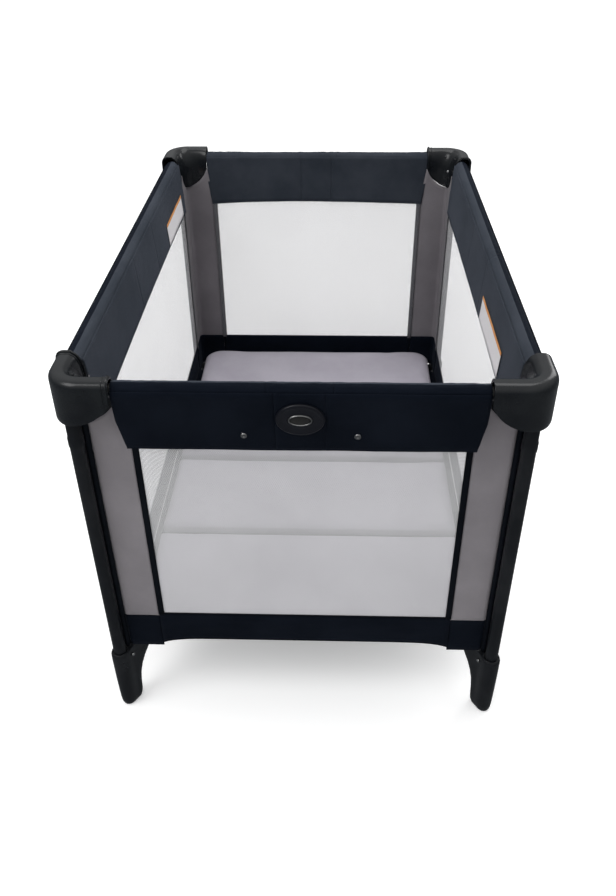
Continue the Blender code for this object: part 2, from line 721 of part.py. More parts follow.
def make_mattress(mat):
    step = 2 * PAD_HALF_L / PAD_COUNT
    for i in range(PAD_COUNT):
        y_low = -PAD_HALF_L + i * step + (PAD_SLIT / 2 if i > 0 else 0)
        y_high = -PAD_HALF_L + (i + 1) * step - (PAD_SLIT / 2 if i < PAD_COUNT - 1 else 0)
        bm = prism(pad_plan(y_low, y_high), UP, PAD_BOTTOM, PAD_BOTTOM + PAD_THICK)
        hinge = {0: y_high + PAD_SLIT / 2, 1: 0.0, 2: 0.0, 3: y_low - PAD_SLIT / 2}[i]
        origin = (0, hinge, PAD_BOTTOM + PAD_THICK)
        obj = finish("mattress_%d" % (i + 1), bm, mat, origin)
        bevel(obj, PAD_EDGE, 1, 60)


def main():
    black_steel = material("black_steel_tube", (0.012, 0.012, 0.014), 0.35, 0.3)
    zinc = material("zinc_tube", (0.45, 0.46, 0.47), 0.35, 1.0)
    gloss = material("black_gloss_plastic", (0.010, 0.010, 0.011), 0.22)
    matte = material("black_matte_plastic", (0.015, 0.015, 0.016), 0.45)
    steel = material("steel_rivet", (0.55, 0.56, 0.58), 0.30, 1.0)
    button = material("silver_rim_plastic", (0.10, 0.10, 0.11), 0.30)
    dark_cloth = material("dark_cloth", (0.012, 0.014, 0.022), 0.85)
    grey_cloth = material("grey_cloth", (0.30, 0.29, 0.31), 0.85)
    net = material("pale_net", (0.62, 0.61, 0.62), 0.80)
    pad_cloth = material("lavender_grey_cloth", (0.42, 0.40, 0.43), 0.85)
    webbing = material("pale_webbing", (0.50, 0.50, 0.50), 0.80)

    for corner, (sx, sy) in CORNERS.items():
        make_post(corner, black_steel)
        make_casting(corner, gloss)
        make_foot(corner, matte)
        make_arm(corner, zinc)
        frame = diagonal_frame(sx, sy)
        _, along, across = frame
        make_pin("foot_pin_" + corner, foot_point(frame, FOOT_PIVOT, ARM_Z), across, steel)
        hub_pivot = foot_point(frame, DIAGONAL - HUB_PIVOT, ARM_Z)
        make_pin("hub_pin_" + corner, hub_pivot, across, steel)
        make_corner_cloth(corner, grey_cloth)
    make_hub(matte)
    make_hub_leg(matte)
    make_strap(webbing)
    sides = {"front": "lr", "back": "lr", "left": "fb", "right": "fb"}
    for wall, (low, high) in sides.items():
        make_rail("rail_%s_%s" % (wall, low), wall, -1, zinc)
        make_rail("rail_%s_%s" % (wall, high), wall, 1, zinc)
        make_latch(wall, matte)
        make_button(wall, button)
        make_cover(wall, dark_cloth)
        make_mesh(wall, net)
    make_tray(dark_cloth)
    make_mattress(pad_cloth)


main()
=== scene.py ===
# %% [markdown]
# # A folding travel playpen
#
# The real object is a folding frame of black steel tubes with plastic corners and feet, dressed in
# sewn cloth: dark padded rail covers, pale net walls, grey corner cloths and a sectioned mattress.
# The solid frame is already made, so the first step only loads it. Everything
# below is placed by asking that frame where its pieces are.

# %% Load the fixed frame
import json
import math

import bmesh
import bpy
from mathutils import Matrix, Vector, noise


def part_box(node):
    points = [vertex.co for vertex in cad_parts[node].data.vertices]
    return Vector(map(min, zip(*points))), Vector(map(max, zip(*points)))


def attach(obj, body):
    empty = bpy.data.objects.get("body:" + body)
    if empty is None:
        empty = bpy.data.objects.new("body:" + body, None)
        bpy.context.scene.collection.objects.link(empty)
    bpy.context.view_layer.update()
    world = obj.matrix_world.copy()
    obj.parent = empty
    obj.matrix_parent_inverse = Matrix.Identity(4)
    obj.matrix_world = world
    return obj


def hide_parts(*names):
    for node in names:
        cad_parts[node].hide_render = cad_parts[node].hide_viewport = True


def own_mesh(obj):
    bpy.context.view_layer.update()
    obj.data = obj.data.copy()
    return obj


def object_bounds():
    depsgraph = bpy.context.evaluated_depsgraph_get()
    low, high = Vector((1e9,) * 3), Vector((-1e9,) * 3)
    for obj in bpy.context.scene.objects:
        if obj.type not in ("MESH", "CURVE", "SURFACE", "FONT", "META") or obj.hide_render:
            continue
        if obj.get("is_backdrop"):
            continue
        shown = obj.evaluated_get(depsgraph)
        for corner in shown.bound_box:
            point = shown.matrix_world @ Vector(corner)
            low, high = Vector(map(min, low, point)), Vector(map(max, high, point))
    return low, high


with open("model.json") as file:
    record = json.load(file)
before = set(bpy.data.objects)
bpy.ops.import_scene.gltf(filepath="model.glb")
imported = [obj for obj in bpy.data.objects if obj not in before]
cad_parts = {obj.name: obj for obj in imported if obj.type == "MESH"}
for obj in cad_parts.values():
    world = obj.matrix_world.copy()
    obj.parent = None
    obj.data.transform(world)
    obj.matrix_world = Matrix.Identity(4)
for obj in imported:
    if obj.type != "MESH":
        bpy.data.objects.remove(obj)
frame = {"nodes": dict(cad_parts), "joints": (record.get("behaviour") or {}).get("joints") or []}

BOX_LOW, BOX_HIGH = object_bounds()

# %% [markdown]
# ## Where things are
#
# A wall of the playpen is easiest to think about in its own three numbers: how far along the wall,
# how far outward from the line of the posts, and how high. The table below keeps, for each wall,
# those directions and the names of the bodies that carry it. All lengths are in metres.

# %% Measure the frame
UP = Vector((0, 0, 1))
CORNERS = {"fl": (-1, -1), "fr": (1, -1), "br": (1, 1), "bl": (-1, 1)}
HALF_W, HALF_L, TOP = BOX_HIGH.x, BOX_HIGH.y, BOX_HIGH.z


def middle(node):
    low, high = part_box(node)
    return (Vector(low) + Vector(high)) / 2


POST = middle("post_fr")
POST_X, POST_Y = POST.x, -POST.y
POST_INSET = HALF_W - POST_X
POST_R = (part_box("post_fr")[1][0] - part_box("post_fr")[0][0]) / 2
RAIL_Z = middle("rail_front_l").z
RAIL_OUT = -middle("rail_front_l").y - POST_Y
CLOTH_IN = POST_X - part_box("corner_cloth_fr")[1][0]
STRIP_IN = POST_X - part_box("corner_cloth_fr")[0][0]
STRIP_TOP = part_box("corner_cloth_fr")[1][2]
COVER_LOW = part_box("cover_front")[0][2]
COVER_END = POST_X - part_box("cover_front")[1][0]
SKIRT_LOW, SKIRT_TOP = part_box("floor_tray")[0][2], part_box("floor_tray")[1][2]
JOINTS = {joint["name"]: joint for joint in frame["joints"]}
print("posts at +-%.3f, +-%.3f, rails at %.3f" % (POST_X, POST_Y, RAIL_Z))


class Wall:
    """One side of the playpen: its directions, its reach and the bodies along it."""

    def __init__(self, name, along, outward, plane, reach, corners, halves):
        self.name, self.along, self.outward = name, Vector(along), Vector(outward)
        self.plane, self.reach = plane, reach
        self.corners = corners
        self.rails = ["rail_%s_%s_body" % (name, half) for half in halves]
        self.latch = "latch_%s_body" % name
        pivot = Vector(JOINTS["latch_%s_follow" % name]["pos_m"])
        self.pivot = abs(pivot.dot(self.along))

    def at(self, a, o, z):
        """A point a along the wall, o outward of the posts' line, at height z."""
        return self.along * a + self.outward * (self.plane + o) + UP * z


WALLS = [
    Wall("front", (1, 0, 0), (0, -1, 0), POST_Y, POST_X, ("fl", "fr"), "lr"),
    Wall("back", (1, 0, 0), (0, 1, 0), POST_Y, POST_X, ("bl", "br"), "lr"),
    Wall("left", (0, 1, 0), (-1, 0, 0), POST_X, POST_Y, ("fl", "bl"), "fb"),
    Wall("right", (0, 1, 0), (1, 0, 0), POST_X, POST_Y, ("fr", "br"), "fb"),
]
FOLDED = math.radians(JOINTS["fold"]["range_deg"][1])
FOOT_PIVOT = (Vector(JOINTS["fold"]["pos_m"]).xy - Vector((-POST_X, -POST_Y))).length
HUB_PIVOT = Vector(JOINTS["hub_follow"]["pos_m"]).xy.length
DIAGONAL = math.hypot(POST_X, POST_Y)


def folded_reach(reach):
    """Distance of a post from the middle when the frame is fully folded."""
    fixed = reach / DIAGONAL * (FOOT_PIVOT + HUB_PIVOT)
    return fixed + (reach - fixed) * math.cos(FOLDED)


for wall in WALLS:
    print(wall.name, "post at", round(wall.reach, 3), "folds to", round(folded_reach(wall.reach), 3))

# %% [markdown]
# ## Shader arithmetic written as Python
#
# Every finish here is a pattern worked out from position: threads, net holes, a little unevenness.
# Such a pattern is a sum, and sums are far easier to read as Python than as a web of Math nodes. The
# class below wraps one socket. Adding or multiplying two wrapped sockets adds the Math node for it,
# also when the plain number comes first, as in 1 - mask. All other nodes come from one method.

# %% A socket that can do sums


class Wire:
    """One output socket of a node tree that takes part in Python arithmetic."""

    def __init__(self, tree, socket):
        self.tree, self.socket = tree, socket

    def node(self, kind, settings, **inputs):
        """Adds a node: its settings first, then its input values or links by socket name."""
        made = self.tree.nodes.new(kind)
        for key, value in settings.items():
            if key == "stops":
                ramp = made.color_ramp
                while len(ramp.elements) < len(value):
                    ramp.elements.new(0.5)
                for element, (place, colour) in zip(ramp.elements, value):
                    element.position, element.color = place, colour
            else:
                setattr(made, key, value)
        for key, value in inputs.items():
            name = key.replace("_", " ")
            index = int(name[1:]) if name[0] == "i" and name[1:].isdigit() else name
            socket = made.inputs[index]
            if isinstance(value, Wire):
                self.tree.links.new(value.socket, socket)
            else:
                socket.default_value = value
        return made

    def out(self, made, name=0):
        return Wire(self.tree, made.outputs[name])

    def math(self, operation, *values):
        inputs = {"i%d" % index: value for index, value in enumerate(values)}
        return self.out(self.node("ShaderNodeMath", {"operation": operation}, **inputs))

    def __add__(self, other):
        return self.math("ADD", self, other)

    __radd__ = __add__

    def __sub__(self, other):
        return self.math("SUBTRACT", self, other)

    def __rsub__(self, other):
        return self.math("SUBTRACT", other, self)

    def __mul__(self, other):
        return self.math("MULTIPLY", self, other)

    __rmul__ = __mul__

    def __truediv__(self, other):
        return self.math("DIVIDE", self, other)

    def __gt__(self, other):
        return self.math("GREATER_THAN", self, other)

    def sine(self):
        return self.math("SINE", self)

    def size(self):
        return self.math("ABSOLUTE", self)

    def clamp(self):
        return self.math("MINIMUM", self.math("MAXIMUM", self, 0.0), 1.0)

    def blend(self, first, second):
        """Mixes two colours by this mask."""
        made = self.node("ShaderNodeMix", {"data_type": "RGBA"}, i0=self, i6=first, i7=second)
        return Wire(self.tree, made.outputs[2])


print("Wire overloads + - * / > and their reflected forms")

# %% [markdown]
# ## A start for every finish
#
# All the finishes share one beginning: a Principled shader, the place of the point on the piece and
# its surface direction, both in the object's own space so that the pattern stays put when the piece
# moves with the fold. Numbers that are the same all over go straight on the shader's own sockets.

# %% The finish builder


class Finish:
    """A material with its shader, the point's position and a few helpers for patterns."""

    def __init__(self, name, **constants):
        self.material = bpy.data.materials.new(name)
        self.material.use_nodes = True
        tree = self.material.node_tree
        self.shader = tree.nodes["Principled BSDF"]
        for key, value in constants.items():
            self.shader.inputs[key.replace("_", " ")].default_value = value
        self.root = Wire(tree, None)
        place = self.root.node("ShaderNodeTexCoord", {})
        self.place = self.root.out(place, "Object")
        self.facing = self.root.out(place, "Normal")
        parts = self.root.node("ShaderNodeSeparateXYZ", {}, Vector=self.place)
        self.x, self.y, self.z = [self.root.out(parts, axis) for axis in "XYZ"]
        tilt = self.root.node("ShaderNodeSeparateXYZ", {}, Vector=self.facing)
        self.level = self.root.out(tilt, "Z").size() > 0.7

    def noise(self, scale, detail=3.0, rough=0.55):
        made = self.root.node("ShaderNodeTexNoise", {}, Vector=self.place, Scale=scale, Detail=detail,
                              Roughness=rough)
        return self.root.out(made, "Factor" if "Factor" in made.outputs else 0)

    def set(self, **wires):
        for key, wire in wires.items():
            self.root.tree.links.new(wire.socket, self.shader.inputs[key.replace("_", " ")])

    def bump(self, height, distance, strength=1.0):
        made = self.root.node("ShaderNodeBump", {}, Strength=strength, Distance=distance,
                              Height=height)
        self.set(Normal=self.root.out(made, "Normal"))

    def weave(self, pitch):
        """Height of a plain weave of threads a pitch apart, right on walls and on level cloth."""
        turn = 2 * math.pi / pitch
        across = (self.x + self.y) * turn
        level = self.level
        upward = (self.z * (1 - level) + (self.x - self.y) * level) * turn
        over = (across.sine() * upward.sine()) * 0.5 + 0.5
        warp, weft = (across * 0.5).sine().size(), (upward * 0.5).sine().size()
        return over * warp + (1 - over) * weft


def grey(value, alpha=1.0):
    return (value, value, value, alpha)


print("finishes take constants first, then patterns")

# %% [markdown]
# ## Plastic and metal finishes
#
# The corner castings are glossy black plastic with a very slight orange peel, the feet and the latch
# are satin with a fine moulded grain, and the posts are powder coated steel. Roughness carries most
# of the difference between them, so each gets its own noise in roughness as well as in the bump.

# %% Hard finishes


def hard_finish(name, dark, light, rough, spread, grain, depth, **constants):
    made = Finish(name, **constants)
    patch = made.noise(14.0, 4.0)
    made.set(Base_Color=((patch - 0.42) * 5).clamp().blend(dark, light))
    made.set(Roughness=(made.noise(55.0) - 0.5) * spread + rough)
    made.bump(made.noise(grain, 2.0), depth, 0.35)
    return made.material


CASTING = hard_finish("casting_gloss", (0.0052, 0.0062, 0.0080, 1), (0.0085, 0.0100, 0.0115, 1),
                      0.22, 0.10, 420.0, 0.00025,
                      Specular_IOR_Level=0.22, Coat_Weight=0.12, Coat_Roughness=0.10)
FOOT = hard_finish("foot_satin", (0.0060, 0.0068, 0.0085, 1), (0.0105, 0.0115, 0.0135, 1),
                   0.30, 0.14, 700.0, 0.0003, Specular_IOR_Level=0.20)
POST = hard_finish("post_powder_coat", (0.0065, 0.0075, 0.0095, 1), (0.0110, 0.0120, 0.0140, 1),
                   0.34, 0.12, 1500.0, 0.0003, Specular_IOR_Level=0.16)
LATCH = hard_finish("latch_satin", (0.0055, 0.0062, 0.0095, 1), (0.0080, 0.0092, 0.0130, 1),
                    0.30, 0.12, 900.0, 0.0002, Specular_IOR_Level=0.22)
KEYCAP = hard_finish("button_face", grey(0.012), grey(0.018), 0.38, 0.10, 900.0, 0.0002,
                     Specular_IOR_Level=0.2)
TUBE = hard_finish("zinc_tube", grey(0.20), grey(0.30), 0.34, 0.20, 300.0, 0.0002, Metallic=1.0)
RIM = hard_finish("silver_rim", grey(0.30), grey(0.42), 0.28, 0.12, 500.0, 0.0001, Metallic=1.0)
RIVET = hard_finish("rivet_steel", grey(0.28), grey(0.45), 0.27, 0.14, 500.0, 0.0001, Metallic=1.0)
print("hard finishes:", [m.name for m in (CASTING, FOOT, POST, LATCH, KEYCAP, TUBE, RIM, RIVET)])

# %% [markdown]
# ## Woven finishes
#
# The covers are a dark navy nylon, and a paler copy of the same nylon on their inward faces is
# painted light: the inside of the playpen lit from above. The corners are a grey nylon and the mattress
# a brushed lavender grey cloth. Threads run along and up each wall. A plain weave is a checkerboard of
# crossings in which one thread or the other is on top, so the product of two sines picks which rounded
# thread shows. Broad noise then makes the dye and the handling uneven, as cloth on a frame never is
# one flat colour.

# %% Woven cloth


def cloth_finish(name, dark, light, pitch, depth, rough, broad=7.0, **constants):
    made = Finish(name, **constants)
    thread = made.weave(pitch)
    patch = ((made.noise(broad, 5.0, 0.62) - 0.36) * 3.2).clamp()
    shade = (patch * 0.62 + thread * 0.38).clamp()
    made.set(Base_Color=shade.blend(dark, light))
    made.set(Roughness=rough - thread * 0.12)
    made.bump(thread + made.noise(38.0, 4.0) * 0.9, depth, 0.55)
    return made.material


NAVY = cloth_finish("navy_nylon", (0.0012, 0.0026, 0.0058, 1), (0.0048, 0.0072, 0.0130, 1),
                    0.0011, 0.00045, 0.80, Specular_IOR_Level=0.04, Sheen_Weight=0.04, Sheen_Roughness=0.4,
                    Sheen_Tint=(0.45, 0.52, 0.72, 1))
# A paler copy of the navy nylon, not a separate cloth: painted light on the faces turned into the lit
# playpen.
NAVY_LIT_INSIDE = cloth_finish("navy_lining", (0.0180, 0.0230, 0.0310, 1), (0.0400, 0.0460, 0.0580, 1),
                      0.0011, 0.00045, 0.80, Specular_IOR_Level=0.06, Sheen_Weight=0.10, Sheen_Roughness=0.45,
                      Sheen_Tint=(0.5, 0.56, 0.7, 1))
GREY = cloth_finish("grey_nylon", (0.150, 0.140, 0.151, 1), (0.215, 0.202, 0.215, 1), 0.0010, 0.0004, 0.78,
                    Specular_IOR_Level=0.15, Sheen_Weight=0.05, Sheen_Roughness=0.5)
PAD = cloth_finish("brushed_pad_cloth", (0.33, 0.31, 0.36, 1), (0.43, 0.41, 0.46, 1), 0.0014, 0.0005, 0.9,
                   broad=5.0, Specular_IOR_Level=0.10, Sheen_Weight=0.05)
TAPE = cloth_finish("black_tape", (0.0016, 0.0026, 0.0050, 1), (0.0050, 0.0066, 0.0100, 1),
                    0.0016, 0.0006, 0.75, Specular_IOR_Level=0.05)
WEB = cloth_finish("pale_webbing", (0.30, 0.30, 0.31, 1), (0.46, 0.46, 0.47, 1), 0.0024, 0.0010, 0.8)
print("woven finishes:", [m.name for m in (NAVY, NAVY_LIT_INSIDE, GREY, PAD, TAPE, WEB)])

# %% [markdown]
# ## The net
#
# The net is knitted with a diamond hole. Cutting a hundred thousand real holes would make a mesh that
# nothing can handle, so the holes are in the material's Alpha. Two families of diagonal threads are
# two sine waves. A point is thread where either wave is near its crest. The dotted binding inside the
# walls is the same idea on a finer square grid, with pale dots on dark tape.

# %% Net, binding and paper


def diagonal_threads(made, pitch, share):
    """1 on a thread and 0 in a hole, for threads a pitch apart that cover a share of the width."""
    turn = math.pi / pitch
    across = (made.x + made.y) * turn
    upward = made.z * turn * 1.15
    edge = math.cos(math.pi * share / 2)
    one, two = (across + upward).sine().size(), (across - upward).sine().size()
    return ((one > edge) + (two > edge)).clamp(), one.math("MAXIMUM", one, two)


net = Finish("pale_net", Roughness=0.78, Specular_IOR_Level=0.2)
thread, crown = diagonal_threads(net, 0.0031, 0.40)
net.set(Base_Color=net.noise(9.0).blend((0.50, 0.50, 0.51, 1), (0.62, 0.62, 0.63, 1)), Alpha=thread)
net.bump(crown, 0.0004, 0.4)
NET = net.material

binding = Finish("dotted_binding", Roughness=0.8)
turn = 2 * math.pi / 0.0042
dot = (((binding.x + binding.y) * turn).sine() * (binding.z * turn).sine()) > 0.30
binding.set(Base_Color=dot.blend((0.012, 0.014, 0.020, 1), (0.34, 0.34, 0.35, 1)))
binding.bump(dot, 0.0004, 0.4)
BINDING = binding.material

paper = Finish("label_paper", Roughness=0.6)
fibre = paper.noise(260.0, 4.0)
paper.set(Base_Color=fibre.blend((0.66, 0.64, 0.66, 1), (0.80, 0.78, 0.79, 1)))
paper.bump(fibre, 0.0002, 0.3)
PAPER = paper.material

stripe = Finish("label_stripe", Roughness=0.55)
fibre = stripe.noise(260.0, 4.0)
stripe.set(Base_Color=fibre.blend((0.62, 0.25, 0.06, 1), (0.74, 0.33, 0.10, 1)))
STRIPE = stripe.material
print("net pitch 3.1 mm, binding dots 4.2 mm apart")

# %% [markdown]
# ## Small tools for making meshes
#
# Nearly every piece below is a grid of points: rows across, columns along, sometimes closed into a
# ring. One function turns such a grid into a mesh. Another gives a sheet its thickness with the
# Solidify modifier, which keeps the source simple and both faces parallel. Modifiers are applied at
# once, because pieces that shrink with the fold need their final mesh.

# %% Mesh helpers


def surface_piece(name, rows, finish, closed=False, caps=False):
    """A mesh through rows of points. Closed joins the ends of each row; caps fill the end rows."""
    bm = bmesh.new()
    grid = [[bm.verts.new(point) for point in row] for row in rows]
    for low, high in zip(grid, grid[1:]):
        count = len(low)
        for i in range(count if closed else count - 1):
            j = (i + 1) % count
            bm.faces.new((low[i], low[j], high[j], high[i]))
    if caps:
        bm.faces.new(list(reversed(grid[0])))
        bm.faces.new(grid[-1])
    bmesh.ops.recalc_face_normals(bm, faces=bm.faces)
    mesh = bpy.data.meshes.new(name)
    bm.to_mesh(mesh)
    bm.free()
    mesh.shade_smooth()
    mesh.materials.append(finish)
    obj = bpy.data.objects.new(name, mesh)
    bpy.context.scene.collection.objects.link(obj)
    return obj


def apply_modifiers(obj):
    graph = bpy.context.evaluated_depsgraph_get()
    mesh = bpy.data.meshes.new_from_object(obj.evaluated_get(graph))
    obj.modifiers.clear()
    obj.data = mesh
    return obj


def thicken(obj, thickness, side=0.0):
    made = obj.modifiers.new("thickness", "SOLIDIFY")
    made.thickness, made.offset = thickness, side
    return apply_modifiers(obj)


def subdivide(obj, levels=1):
    made = obj.modifiers.new("smooth", "SUBSURF")
    made.levels = made.render_levels = levels
    return apply_modifiers(obj)


def bevel(obj, width, segments=2, angle=35):
    made = obj.modifiers.new("edges", "BEVEL")
    made.width, made.segments = width, segments
    made.limit_method, made.angle_limit = "ANGLE", math.radians(angle)
    made.harden_normals = False
    apply_modifiers(obj)
    obj.data.set_sharp_from_angle(angle=math.radians(angle + 20))
    return obj


def join(name, objects):
    """One object from several, each keeping its own material."""
    bm = bmesh.new()
    finishes = []
    for obj in objects:
        part = bmesh.new()
        part.from_mesh(obj.data)
        part.transform(obj.matrix_world)
        slots = []
        for finish in obj.data.materials:
            if finish not in finishes:
                finishes.append(finish)
            slots.append(finishes.index(finish))
        for face in part.faces:
            face.material_index = slots[face.material_index] if slots else 0
        scratch = bpy.data.meshes.new("scratch")
        part.to_mesh(scratch)
        part.free()
        bm.from_mesh(scratch)
        bpy.data.meshes.remove(scratch)
        bpy.data.objects.remove(obj)
    mesh = bpy.data.meshes.new(name)
    bm.to_mesh(mesh)
    bm.free()
    for finish in finishes:
        mesh.materials.append(finish)
    made = bpy.data.objects.new(name, mesh)
    bpy.context.scene.collection.objects.link(made)
    return made


print("mesh helpers ready")

# %% Turned and swept helpers


def axes_for(direction):
    other = UP if abs(direction.z) < 0.9 else Vector((1, 0, 0))
    first = direction.cross(other).normalized()
    return first, direction.cross(first).normalized()


def turned(name, base, way, profile, finish, segments=32, stretch=1.0, first=None):
    """A solid turned about a line; profile is (radius, distance along it). Stretch makes it oval."""
    way = Vector(way).normalized()
    one, two = axes_for(way) if first is None else (first, way.cross(first))
    rows = []
    for radius, distance in profile:
        row = []
        for i in range(segments):
            turn = 2 * math.pi * i / segments
            row.append(base + way * distance + one * radius * math.cos(turn)
                       + two * radius * stretch * math.sin(turn))
        rows.append(row)
    return surface_piece(name, rows, finish, closed=True, caps=True)


def swept(name, points, radius, finish, sides=8):
    """A thin round bar along points, for beads, piping and seams."""
    rows = []
    count = len(points)
    for i, point in enumerate(points):
        way = (points[min(i + 1, count - 1)] - points[max(i - 1, 0)]).normalized()
        if i == 0:
            side = axes_for(way)[0]
        side = (side - way * side.dot(way)).normalized()
        other = way.cross(side)
        turns = [2 * math.pi * k / sides for k in range(sides)]
        rows.append([point + (side * math.cos(t) + other * math.sin(t)) * radius for t in turns])
    return surface_piece(name, rows, finish, closed=True, caps=True)


def ripple(point, scale, seed=0.0):
    """Smooth repeatable unevenness between about -1 and 1."""
    return noise.noise(Vector(point) * scale + Vector((seed, seed * 1.7, -seed)))


print("turned and swept helpers ready")

# %% [markdown]
# ## Corner castings
#
# Each corner is one moulding: a rounded square corner with two short legs over the rails. A narrow
# rounded rim runs along its outer edge, and behind the rim a dished face slopes down into a shield
# with a rounded tip. Seen from the side the lower edge is a quarter ellipse. The long highlights need
# clean flowing rows of points, so a section is walked along the outer edge from one leg end to the
# other: up the outer face, over the rim and down the dished face. Solidify then gives it its wall.

# %% Casting section
LEG = POST_INSET + COVER_END
DEPTH = 0.0370
CORNER_R = 0.050
RIM_ROUND, RIM_WIDTH, RIM_INNER = 0.0115, 0.0215, 0.0030
SHIELD_R, SHIELD_Z, OUTER_DROP, INNER_DROP = 0.0735, TOP - 0.015, 0.061, 0.074
SHIELD_PULL = Vector((0.0275, 0.0275))
MOULDED_WALL = 0.0026


def outer_edge(u):
    """Plan point on the outer edge and the way inward, u from one leg end (0) to the other (1)."""
    straight, arc = LEG - CORNER_R, CORNER_R * math.pi / 2
    run = u * (2 * straight + arc)
    if run < straight:
        return Vector((LEG - run, 0)), Vector((0, 1))
    if run > straight + arc:
        return Vector((0, CORNER_R + run - straight - arc)), Vector((1, 0))
    turn = (run - straight) / CORNER_R
    way = Vector((-math.sin(turn), -math.cos(turn)))
    return Vector((CORNER_R, CORNER_R)) + way * CORNER_R, -way


def inner_edge(u):
    """Plan point on the shield's lower edge."""
    begin, end = Vector((LEG, DEPTH)), Vector((DEPTH, LEG))
    return begin * (1 - u) ** 2 + SHIELD_PULL * 2 * u * (1 - u) + end * u**2


def casting_point(corner, plan, z):
    sx, sy = CORNERS[corner]
    return Vector((sx * (HALF_W - plan.x), sy * (HALF_L - plan.y), z))


def shield_edge(plan, drop):
    """Height of the lower edge at a plan point."""
    far = (plan - Vector((POST_INSET, POST_INSET))).length / SHIELD_R
    return SHIELD_Z - drop * math.sqrt(max(0.0, 1 - far * far))


def face_point(corner, u, share):
    """A point on the dished face: share 0 at the rim and 1 at the shield's lower edge."""
    edge, inward = outer_edge(u)
    near, far = edge + inward * (RIM_WIDTH + RIM_INNER * 0.7), inner_edge(u)
    low = min(TOP - 0.0120, shield_edge(far, INNER_DROP))
    start = TOP - RIM_INNER * 0.9
    plan = near + (far - near) * (1 - (1 - share) ** 2.2)
    return casting_point(corner, plan, start + (low - start) * share**1.5)


def section(corner, u):
    """All points of the casting's section at u, from the outer lower edge to the inner one."""
    edge, inward = outer_edge(u)
    under = TOP - RIM_ROUND
    low = min(under - 0.010, shield_edge(edge, OUTER_DROP))
    points = [casting_point(corner, edge, low + (under - low) * i / 7) for i in range(7)]
    for i in range(8):
        turn = math.pi / 2 * i / 7
        plan = edge + inward * RIM_ROUND * (1 - math.cos(turn))
        points.append(casting_point(corner, plan, under + RIM_ROUND * math.sin(turn)))
    for share in (0.4, 0.8, 1.0):
        plan = edge + inward * (RIM_ROUND + (RIM_WIDTH - RIM_ROUND) * share)
        points.append(casting_point(corner, plan, TOP - 0.0003 * share))
    points += [face_point(corner, u, i / 14) for i in range(15)]
    return points


print("casting leg", round(LEG, 4), "deep", DEPTH)

# %% Casting bodies


def section_band(corner, u, out):
    """The section moved out of the surface a little, for the beads round a leg's end."""
    line = section(corner, u)
    ahead = section(corner, u + 0.01 if u < 0.5 else u - 0.01)
    moved = []
    for i, point in enumerate(line):
        along = line[min(i + 1, len(line) - 1)] - line[max(i - 1, 0)]
        normal = along.cross(ahead[i] - point).normalized()
        middle_of = casting_point(corner, Vector((0.05, 0.05)), TOP - 0.05)
        if i < 16 and normal.dot(point - middle_of) < 0 or i >= 16 and normal.z < 0:
            normal = -normal
        moved.append(point + normal * out)
    return moved


SHARES = [0.0, 0.012, 0.03, 0.05, 0.075] + [0.1 + 0.8 * i / 40 for i in range(41)]
SHARES += [0.925, 0.95, 0.97, 0.988, 1.0]
for corner, (sx, sy) in CORNERS.items():
    shell = surface_piece("shell", [section(corner, u) for u in SHARES], CASTING)
    thicken(shell, MOULDED_WALL, -1.0 if sx * sy > 0 else 1.0)
    bevel(shell, 0.0006, 2, 50)
    extras = [shell]
    for u, step in ((0.0, 1), (1.0, -1)):
        extras.append(swept("bead", section_band(corner, u + step * 0.018, 0.0003), 0.0022, CASTING))
        extras.append(swept("neck", section_band(corner, u + step * 0.055, -0.0001), 0.0012, CASTING))
    rim = [face_point(corner, 0.04 + 0.92 * i / 40, 0.975) for i in range(41)]
    extras.append(swept("lip", rim, 0.0017, CASTING))
    casting = join("casting_shell_" + corner, extras)
    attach(casting, "corner_" + corner)
    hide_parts("casting_" + corner)
print("four corner castings with end beads and a lip along the shield")

# %% [markdown]
# Rivet heads fix the rails inside the castings, and a moulded oblong boss sits near the tip of the
# shield. Each rivet is a turned dome with a small shoulder, so it catches one sharp highlight.

# %% Casting rivets
DOME = [(0.0001, 0.0019), (0.0012, 0.0018), (0.0022, 0.0013), (0.0028, 0.0006), (0.0031, 0.0004),
        (0.0032, -0.0012)]


def rivet(name, place, way, size=1.0, finish=RIVET):
    profile = [(radius * size, height * size) for radius, height in DOME]
    return turned(name, place, way, profile, finish, 16)


def face_way(corner, u, share):
    """The way out of the dished face."""
    down = face_point(corner, u, share + 0.02) - face_point(corner, u, share)
    across = face_point(corner, u + 0.02, share) - face_point(corner, u, share)
    way = down.cross(across).normalized()
    return way if way.z > 0 else -way


for corner in CORNERS:
    heads = []
    for u, share, finish in ((0.33, 0.30, CASTING), (0.67, 0.30, CASTING), (0.5, 0.66, RIVET)):
        place, way = face_point(corner, u, share), face_way(corner, u, share)
        heads.append(rivet("head", place, way, 1.0, finish))
    place, way = face_point(corner, 0.5, 0.82), face_way(corner, 0.5, 0.82)
    side = way.cross(UP).normalized()
    rise = side.cross(way)
    boss = [place + side * 0.009 * math.cos(t) + rise * 0.0026 * math.sin(t)
            for t in [2 * math.pi * i / 28 for i in range(29)]]
    heads.append(swept("boss", boss, 0.0010, CASTING, 6))
    heads = join("casting_rivets_" + corner, heads)
    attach(heads, "corner_" + corner)
print("three rivets and a moulded boss on each casting")

# %% [markdown]
# ## Posts
#
# The posts are plain round tubes, slightly swaged where they enter the foot, with a moulded bush at
# each end. A turned profile gives all of that in one smooth piece.

